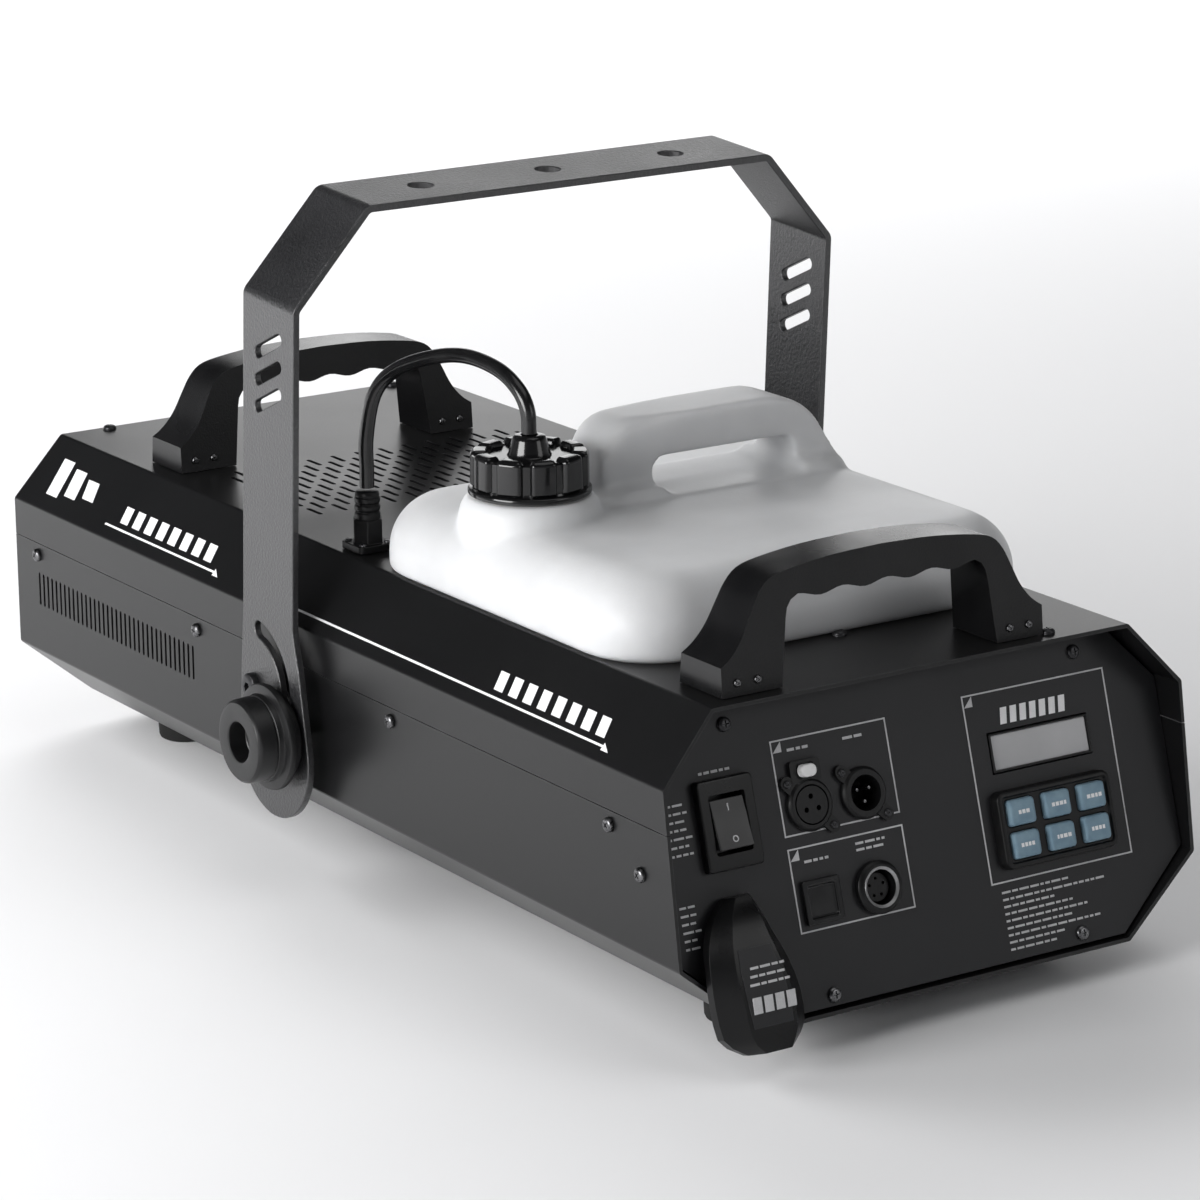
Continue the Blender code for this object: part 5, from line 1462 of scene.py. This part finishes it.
def makeSmallSockets():
    x, z = panel["remote"]
    rim = prism(roundedBox(0.0110, 0.0110, 0.0012, 4, (x, z)), "Y", -gap - 0.0025, -gap)
    inner = prism(roundedBox(0.0086, 0.0086, 0.0006, 3, (x, z)), "Y", -0.0015, 0.0160)
    step = loft([[(x + u * k, y, z + v * k) for u, v in roundedBox(0.0088, 0.0088, 0.0010, 4)]
                 for y, k in ((-0.0045, 1.0), (-0.0012, 0.86))])
    mouth = block((x - 0.0058, -0.010, z - 0.0035), (x + 0.0058, 0.012, z + 0.0048))
    notch = block((x - 0.0024, -0.010, z - 0.0062), (x + 0.0024, 0.011, z - 0.0030))
    onPanel("remoteSocket", cut(join(rim, inner), step, mouth, notch), "glossPlastic", "black_plastic",
            edge=0.0006,
            replaced=("remote_socket",))
    contacts = [block((x + 0.0013 * i - 0.00025, 0.0010, z + 0.0040),
                      (x + 0.0013 * i + 0.00025, 0.0100, z + 0.0046))
                for i in (-2, -1, 0, 1, 2)]
    onPanel("remoteContacts", merged(contacts), "warmBrass", "brass")
    x, z = panel["wireless"]
    ring = panel["socketRadius"] + 0.0015
    profile = [(0, 0.0180), (0.0092, 0.0180), (0.0092, 0.0), (ring, 0.0), (ring, -0.0026),
               (ring - 0.0008, -0.0036)]
    profile += [(ring - 0.0022, -0.0042), (0.0100, -0.0042), (0.0094, -0.0038), (0.0090, 0.0020),
                (0.0088, 0.0060), (0, 0.0060)]
    onPanel("wirelessSocket", lathe(profile, "Y", (x, -gap, z), 56), "fittingPlastic", "black_plastic",
            replaced=("wireless_socket",))
    bright = [(0.0088, -0.0036), (0.0097, -0.0041), (0.0102, -0.0044), (0.0104, -0.0040), (0.0098, -0.0034),
              (0.0090, -0.0028)]
    onPanel("wirelessRing", lathe(bright, "Y", (x, -gap, z), 56), "platedSteel", "plain_steel")
    insert = lathe([(0, 0.0060), (0.0076, 0.0060), (0.0076, 0.0008), (0.0070, 0.0002), (0, 0.0002)], "Y",
                   (x, 0, z), 40)
    holes = [rod(0.0009, -0.004, 0.0050, "Y",
                   (x + 0.0044 * cos(radians(a)), 0, z + 0.0044 * sin(radians(a))),
                 12) for a in (-120, -60, 20, 90, 160)]
    onPanel("wirelessInsert", cut(insert, *holes), "fittingPlastic", "black_plastic")


def makeScreen():
    x, z = panel["screen"]
    rim = [[(x + u, y, z + v) for u, v in roundedBox(0.0315 - i, 0.0100 - i, 0.0008, 3)]
           for y, i in ((0.0090, 0), (-0.0006, 0), (-0.0010, 0.0004), (-0.0010, 0.0009), (0.0002, 0.0013),
                        (0.0090, 0.0013))]
    onPanel("screenRim", loft(rim, capped=False), "fittingPlastic", "black_plastic",
            replaced=("display_window",))
    pane = [[(x + u, y, z + v) for u, v in roundedBox(0.0302 - i, 0.0087 - i, 0.0006, 3)]
            for y, i in ((0.0088, 0), (0.0002, 0), (-0.0001, 0.0006))]
    onPanel("screenPane", loft(pane), "screenGlass", "display_grey")


def makeKeypad():
    x, z = panel["keypad"]
    rings = []
    for y, inset in ((-gap, 0), (-0.0050, 0.0004), (-0.0058, 0.0009), (-0.0062, 0.0018), (-0.0062, 0.0030),
                     (-0.0048, 0.0036)):
        radius = max(0.005 - inset, 0.002)
        rings.append([(x + u, y, z + v) for u, v in roundedBox(0.0365 - inset, 0.0200 - inset, radius, 6)])
    body = loft(rings)
    centres = [(x + panel["keyPitch"][0] * column, z + panel["keyPitch"][1] * row / 2)
               for row in (1, -1) for column in (-1, 0, 1)]
    halfX, halfZ = panel["keySize"][0] / 2, panel["keySize"][1] / 2
    wells = [prism(roundedBox(halfX + gap, halfZ + gap, 0.0019, 4, centre), "Y", -0.010,
                   -0.0026) for centre in centres]
    onPanel("keypadBezel", cut(body, *wells), "fittingPlastic", "black_plastic", edge=0.0002,
            replaced=("keypad_bezel",))
    for index, (keyX, keyZ) in enumerate(centres, 1):
        rings = []
        for y, inset in ((-0.0040, 0), (-0.0068, 0.0002), (-0.0075, 0.0006), (-0.0079, 0.0014),
                         (-0.0080, 0.0028)):
            outline = roundedBox(halfX - inset, halfZ - inset, 0.0018 if inset < 0.001 else 0.0010, 5,
                                 (keyX, keyZ))
            rings.append([(u, y, v) for u, v in outline])
        onPanel(f"keyCap_{index}", loft(rings), "keyRubber", "key_blue", body=f"key_{index}",
                replaced=(f"key_{index}",), angle=50)
        bars = []
        left = keyX - random.uniform(0.0028, 0.0048)
        while left < keyX + 0.0042:
            width = random.uniform(0.0010, 0.0022)
            bars.append(block((left, -0.00806, keyZ - 0.0010), (left + width, -0.0078, keyZ + 0.0010)))
            left += width + 0.0006
        onPanel(f"keyMark_{index}", merged(bars), "stripeInk", "display_grey", body=f"key_{index}")


def makeSwitch():
    x, z = panel["switch"]
    rings = []
    for y, inset in ((-gap, 0), (-0.0042, 0.0002), (-0.0048, 0.0006), (-0.0050, 0.0014)):
        rings.append([(x + u, y, z + v) for u, v in roundedBox(0.0165 - inset, 0.0225 - inset, 0.0020, 5)])
    body = prism(roundedBox(0.0128, 0.0165, 0.0010, 3, (x, z)), "Y", -0.0010, 0.0260)
    well = prism(roundedBox(0.0106, 0.0146, 0.0012, 4, (x, z)), "Y", -0.0120, 0.0080)
    onPanel("switchBezel", cut(join(loft(rings), body), well), "hoodPlastic", "black_plastic", edge=0.00025,
            replaced=("switch_bezel",))
    half = 0.0124
    side = [(-0.0075, -half), (-0.0067, -0.0080), (-0.0056, -0.0020), (-0.0051, 0.0030), (-0.0042, 0.0080),
            (-0.0035, half)]
    side += [(0.0010, 0.0110), (0.0010, -0.0110)]
    outline = [(y - 0.0002, v + z) for y, v in side]
    onPanel("rockerCap", prism(outline, "X", x - 0.0100, x + 0.0100), "handlePlastic", "black_plastic",
            edge=0.0005,
            segments=3, body="power_rocker", replaced=("power_rocker",))
    low, high = Vector((0, -0.0077, z - half)), Vector((0, -0.0058, z - 0.0020))
    up = (high - low).normalized()
    out = Vector((0, -up.z, up.y))
    centre = low + up * 0.0048
    turn = Matrix((Vector((1, 0, 0)), up, -out)).transposed().to_4x4()
    ring = lathe([(0.0011, -0.0002), (0.0017, -0.0002), (0.0017, 0.0001), (0.0011, 0.0001)], "Z", (0, 0, 0),
                 28)
    ring.transform(Matrix.Translation(centre + Vector((x, 0, 0))) @ turn)
    line = block((x - 0.0003, -0.00455, z + 0.0062), (x + 0.0003, -0.0035, z + 0.0098))
    for vertex in line.verts:
        vertex.co.y += 0.13 * (vertex.co.z - z - 0.0080)
    onPanel("rockerMarks", merged([ring, line]), "legendInk", "display_grey", body="power_rocker")


hood = {
    "front": -0.0024,
    # height up the plate, left, right, depth, and how far the left edge clears the shell
    "levels": ((-0.0080, -0.1300, -0.1030, 0.0128, 0.0010), (-0.0030, -0.1385, -0.0982, 0.0146, 0.0010),
               (0.0020, -0.1430, -0.0950, 0.0156, 0.0010), (0.0100, -0.1450, -0.0944, 0.0165, 0.0022),
               (0.0180, -0.1460, -0.0950, 0.0170, 0.0034), (0.0260, -0.1465, -0.0966, 0.0171, 0.0044),
               (0.0340, -0.1465, -0.0990, 0.0168, 0.0054), (0.0410, -0.1452, -0.1018, 0.0163, 0.0038),
               (0.0480, -0.1430, -0.1050, 0.0155, 0.0020), (0.0545, -0.1398, -0.1074, 0.0143, 0.0008),
               (0.0600, -0.1360, -0.1095, 0.0125, 0.0), (0.0650, -0.1310, -0.1116, 0.0102, 0.0),
               (0.0680, -0.1270, -0.1130, 0.0080, 0.0)),
    "slope": 0.22, "edge": 0.0013,
    "boss": ((-0.1235, -0.0064, 0.0205), (-0.1005, 0.020, 0.0395)),
    "entry": ((-0.1240, -0.0125, -0.020), (-0.1090, -0.0050, 0.0160)),
    "pad": (0.0050, 0.0140, 0.0240, 0.0340, 0.0440), "padInset": 0.0022,
    "marks": (0.0120, 0.0200), "markStart": -0.1300, "markPitch": 0.0066, "markWidth": 0.0050,
    "rows": (0.0255, 0.0295, 0.0335), "rowEnd": -0.1070,
    "base": ((-0.1150, 0.0070), (-0.1010, 0.0070), (-0.1080, 0.0480), (-0.1160, 0.0640), (-0.1240, 0.0640),
             (-0.1340, 0.0480), (-0.1330, 0.0260)),
}


def hoodFace(z):
    # left and right edge of the front flat, and how far it stands out, at one height
    levels = hood["levels"]
    for lower, upper in zip(levels, levels[1:]):
        if lower[0] <= z <= upper[0]:
            t = (z - lower[0]) / (upper[0] - lower[0])
            left, right, depth = (lower[i] + (upper[i] - lower[i]) * t for i in (1, 2, 3))
            slope = hood["slope"] * (right - left)
            return left + slope, right - slope, hood["front"] - depth
    return None


def makeHood():
    front = hood["front"]
    rings = []
    for z, left, right, depth, clear in hood["levels"]:
        slope = hood["slope"] * (right - left)
        ring = [(left, -clear), (left, -0.4 * depth - 0.6 * clear), (left + slope, -depth),
                (right - slope, -depth),
                (right, -0.4 * depth), (right, 0)]
        rings.append([(x, front + y, z) for x, y in ring])
    body = loft(rings)
    base = prism(hood["base"], "Y", front - 0.003, -gap)
    boss = block(*hood["boss"])
    entry = block(*hood["entry"])
    onPanel("inletHood", cut(join(body, base, boss), entry), "hoodPlastic", "black_plastic",
            edge=hood["edge"], segments=3,
            replaced=("inlet_hood",), angle=24)
    rings = []
    inset = hood["padInset"]
    for z in hood["pad"]:
        left, right, depth = hoodFace(z)
        rings.append([(left + inset, depth + 0.0004, z), (left + inset, depth - 0.0003, z),
                      (right - inset, depth - 0.0003, z), (right - inset, depth + 0.0004, z)])
    onPanel("hoodLabelPad", loft(rings), "panelPaint", "panel_black")
    marks = []
    for i in range(4):
        x = hood["markStart"] + hood["markPitch"] * i
        end = x + hood["markWidth"]
        rings = []
        for z in hood["marks"]:
            face = hoodFace(z)[2]
            rings.append([(x, face - 0.0006, z), (end, face - 0.0006, z), (end, face, z), (x, face, z)])
        marks.append(loft(rings))
    for row, z in enumerate(hood["rows"]):
        face = hoodFace(z)[2]
        left = hood["markStart"] + 0.0008 * row
        while left < hood["rowEnd"] - 0.0015:
            width = random.uniform(0.0025, 0.0060)
            marks.append(block((left, face - 0.0005, z),
                               (min(left + width, hood["rowEnd"]), face, z + 0.0012)))
            left += width + 0.0011
    onPanel("hoodLabel", merged(marks), "legendInk", "display_grey")


makePlate()
makePrint()
makePlugSockets()
makeSmallSockets()
makeScreen()
makeKeypad()
makeSwitch()
makeHood()
panelScrew("panelScrew_1", 0.0854, 0.0095)
panelScrew("panelScrew_2", -0.0700, 0.0095)
for index, x in enumerate((0.1080, -0.1080), 3):
    panelScrew(f"panelScrew_{index}", x, 0.1500, finish="blackScrew", slotName="black_steel")
print("control panel ready")


# Printed stripes along both upper chamfers

stripe = {
    "width": 0.0012, "ink": 0.00012, "under": 0.0002, "height": 0.0075,
    "runs": ((0.245, 0.117), (0.031, -0.271)),
    "arrow": (0.0060, 0.0102, 0.0065),  # low, high, length
    # rows of slanted bars: start along the machine, how many, width, pitch
    "bars": ((0.232, 8, 0.0085, 0.0140), (-0.168, 8, 0.0078, 0.0132)), "barHeight": (0.0120, 0.0105),
    "slant": 0.0035,
}


def chamferPoint(side, up, y, out=0.0):
    # up is the distance from the chamfer's lower edge, along its slope
    rise = Vector((-housing["topChamfer"][0], housing["topChamfer"][1])).normalized()
    away = Vector((rise.y, -rise.x))
    start = Vector((housing["halfWidth"], deck - housing["topChamfer"][1]))
    spot = start + rise * up + away * out
    return Vector((side * spot.x, y, spot.y))


def stripeBlock(side, up, width, start, end, slant=0.0):
    rings = []
    for out in (-stripe["under"], stripe["ink"]):
        rings.append([chamferPoint(side, up, start, out), chamferPoint(side, up, end, out),
                      chamferPoint(side, up + width, end + slant, out),
                      chamferPoint(side, up + width, start + slant, out)])
    return loft(rings)


def makeStripes():
    low, high, length = stripe["arrow"]
    for side, word in ((-1, "left"), (1, "right")):
        marks = []
        for start, end in stripe["runs"]:
            marks.append(stripeBlock(side, stripe["height"], stripe["width"], start, end))
            marks.append(loft([[chamferPoint(side, low, end, out), chamferPoint(side, low, end - length, out),
                                chamferPoint(side, high, end,
                                             out)] for out in (-stripe["under"], stripe["ink"])]))
        for first, count, size, pitch in stripe["bars"]:
            for i in range(count):
                y = first - pitch * i
                marks.append(stripeBlock(side, *stripe["barHeight"], y, y - size, stripe["slant"]))
        for i in range(3):
            y = 0.322 - 0.0190 * i
            marks.append(stripeBlock(side, 0.0100 + 0.003 * i, 0.0240 - 0.006 * i, y, y - 0.0130, 0.0060))
        place(f"chamferStripe_{word}", merged(marks), "stripeInk", "housing", "display_grey")


def makeFeet():
    for index in range(1, 5):
        low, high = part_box(f"foot_{index}")
        centre = ((low[0] + high[0]) / 2, (low[1] + high[1]) / 2, low[2])
        top = high[2] - low[2]
        profile = [(0, 0.0010), (0.0040, 0.0010), (0.0046, 0), (0.0142, 0), (0.0156, 0.0008),
                   (0.0163, 0.0024)]
        profile += [(0.0168, top - 0.0060), (0.0160, top - 0.0054), (0.0160, top - 0.0044),
                    (0.0170, top - 0.0038)]
        profile += [(0.0175, top - 0.0014), (0.0172, top), (0, top)]
        place(f"footPad_{index}", lathe(profile, "Z", centre, 48), "footRubber", "housing", "rubber",
              replaced=(f"foot_{index}",))


makeStripes()
makeFeet()


# Inner works keep their modelled shapes and take a finish
innerFinishes = {
    "tank_well": "housingPaint", "pickup_tube": "clearTube", "intake_filter": "warmBrass",
    "pivot_spacer_left": "platedSteel", "pivot_spacer_right": "platedSteel",
    "clamp_stud_left": "platedSteel", "clamp_stud_right": "platedSteel",
    "heater_block": "castAluminium", "heater_jacket": "fibreWrap", "pump_bracket": "platedSteel",
    "pump_body": "warmBrass", "feed_tube": "clearTube", "circuit_board": "boardGreen",
    "transformer": "platedSteel",
}
for name, finish in innerFinishes.items():
    for materialSlot in nodes[name].material_slots:
        materialSlot.material = paint[finish]
print("inner works ready")
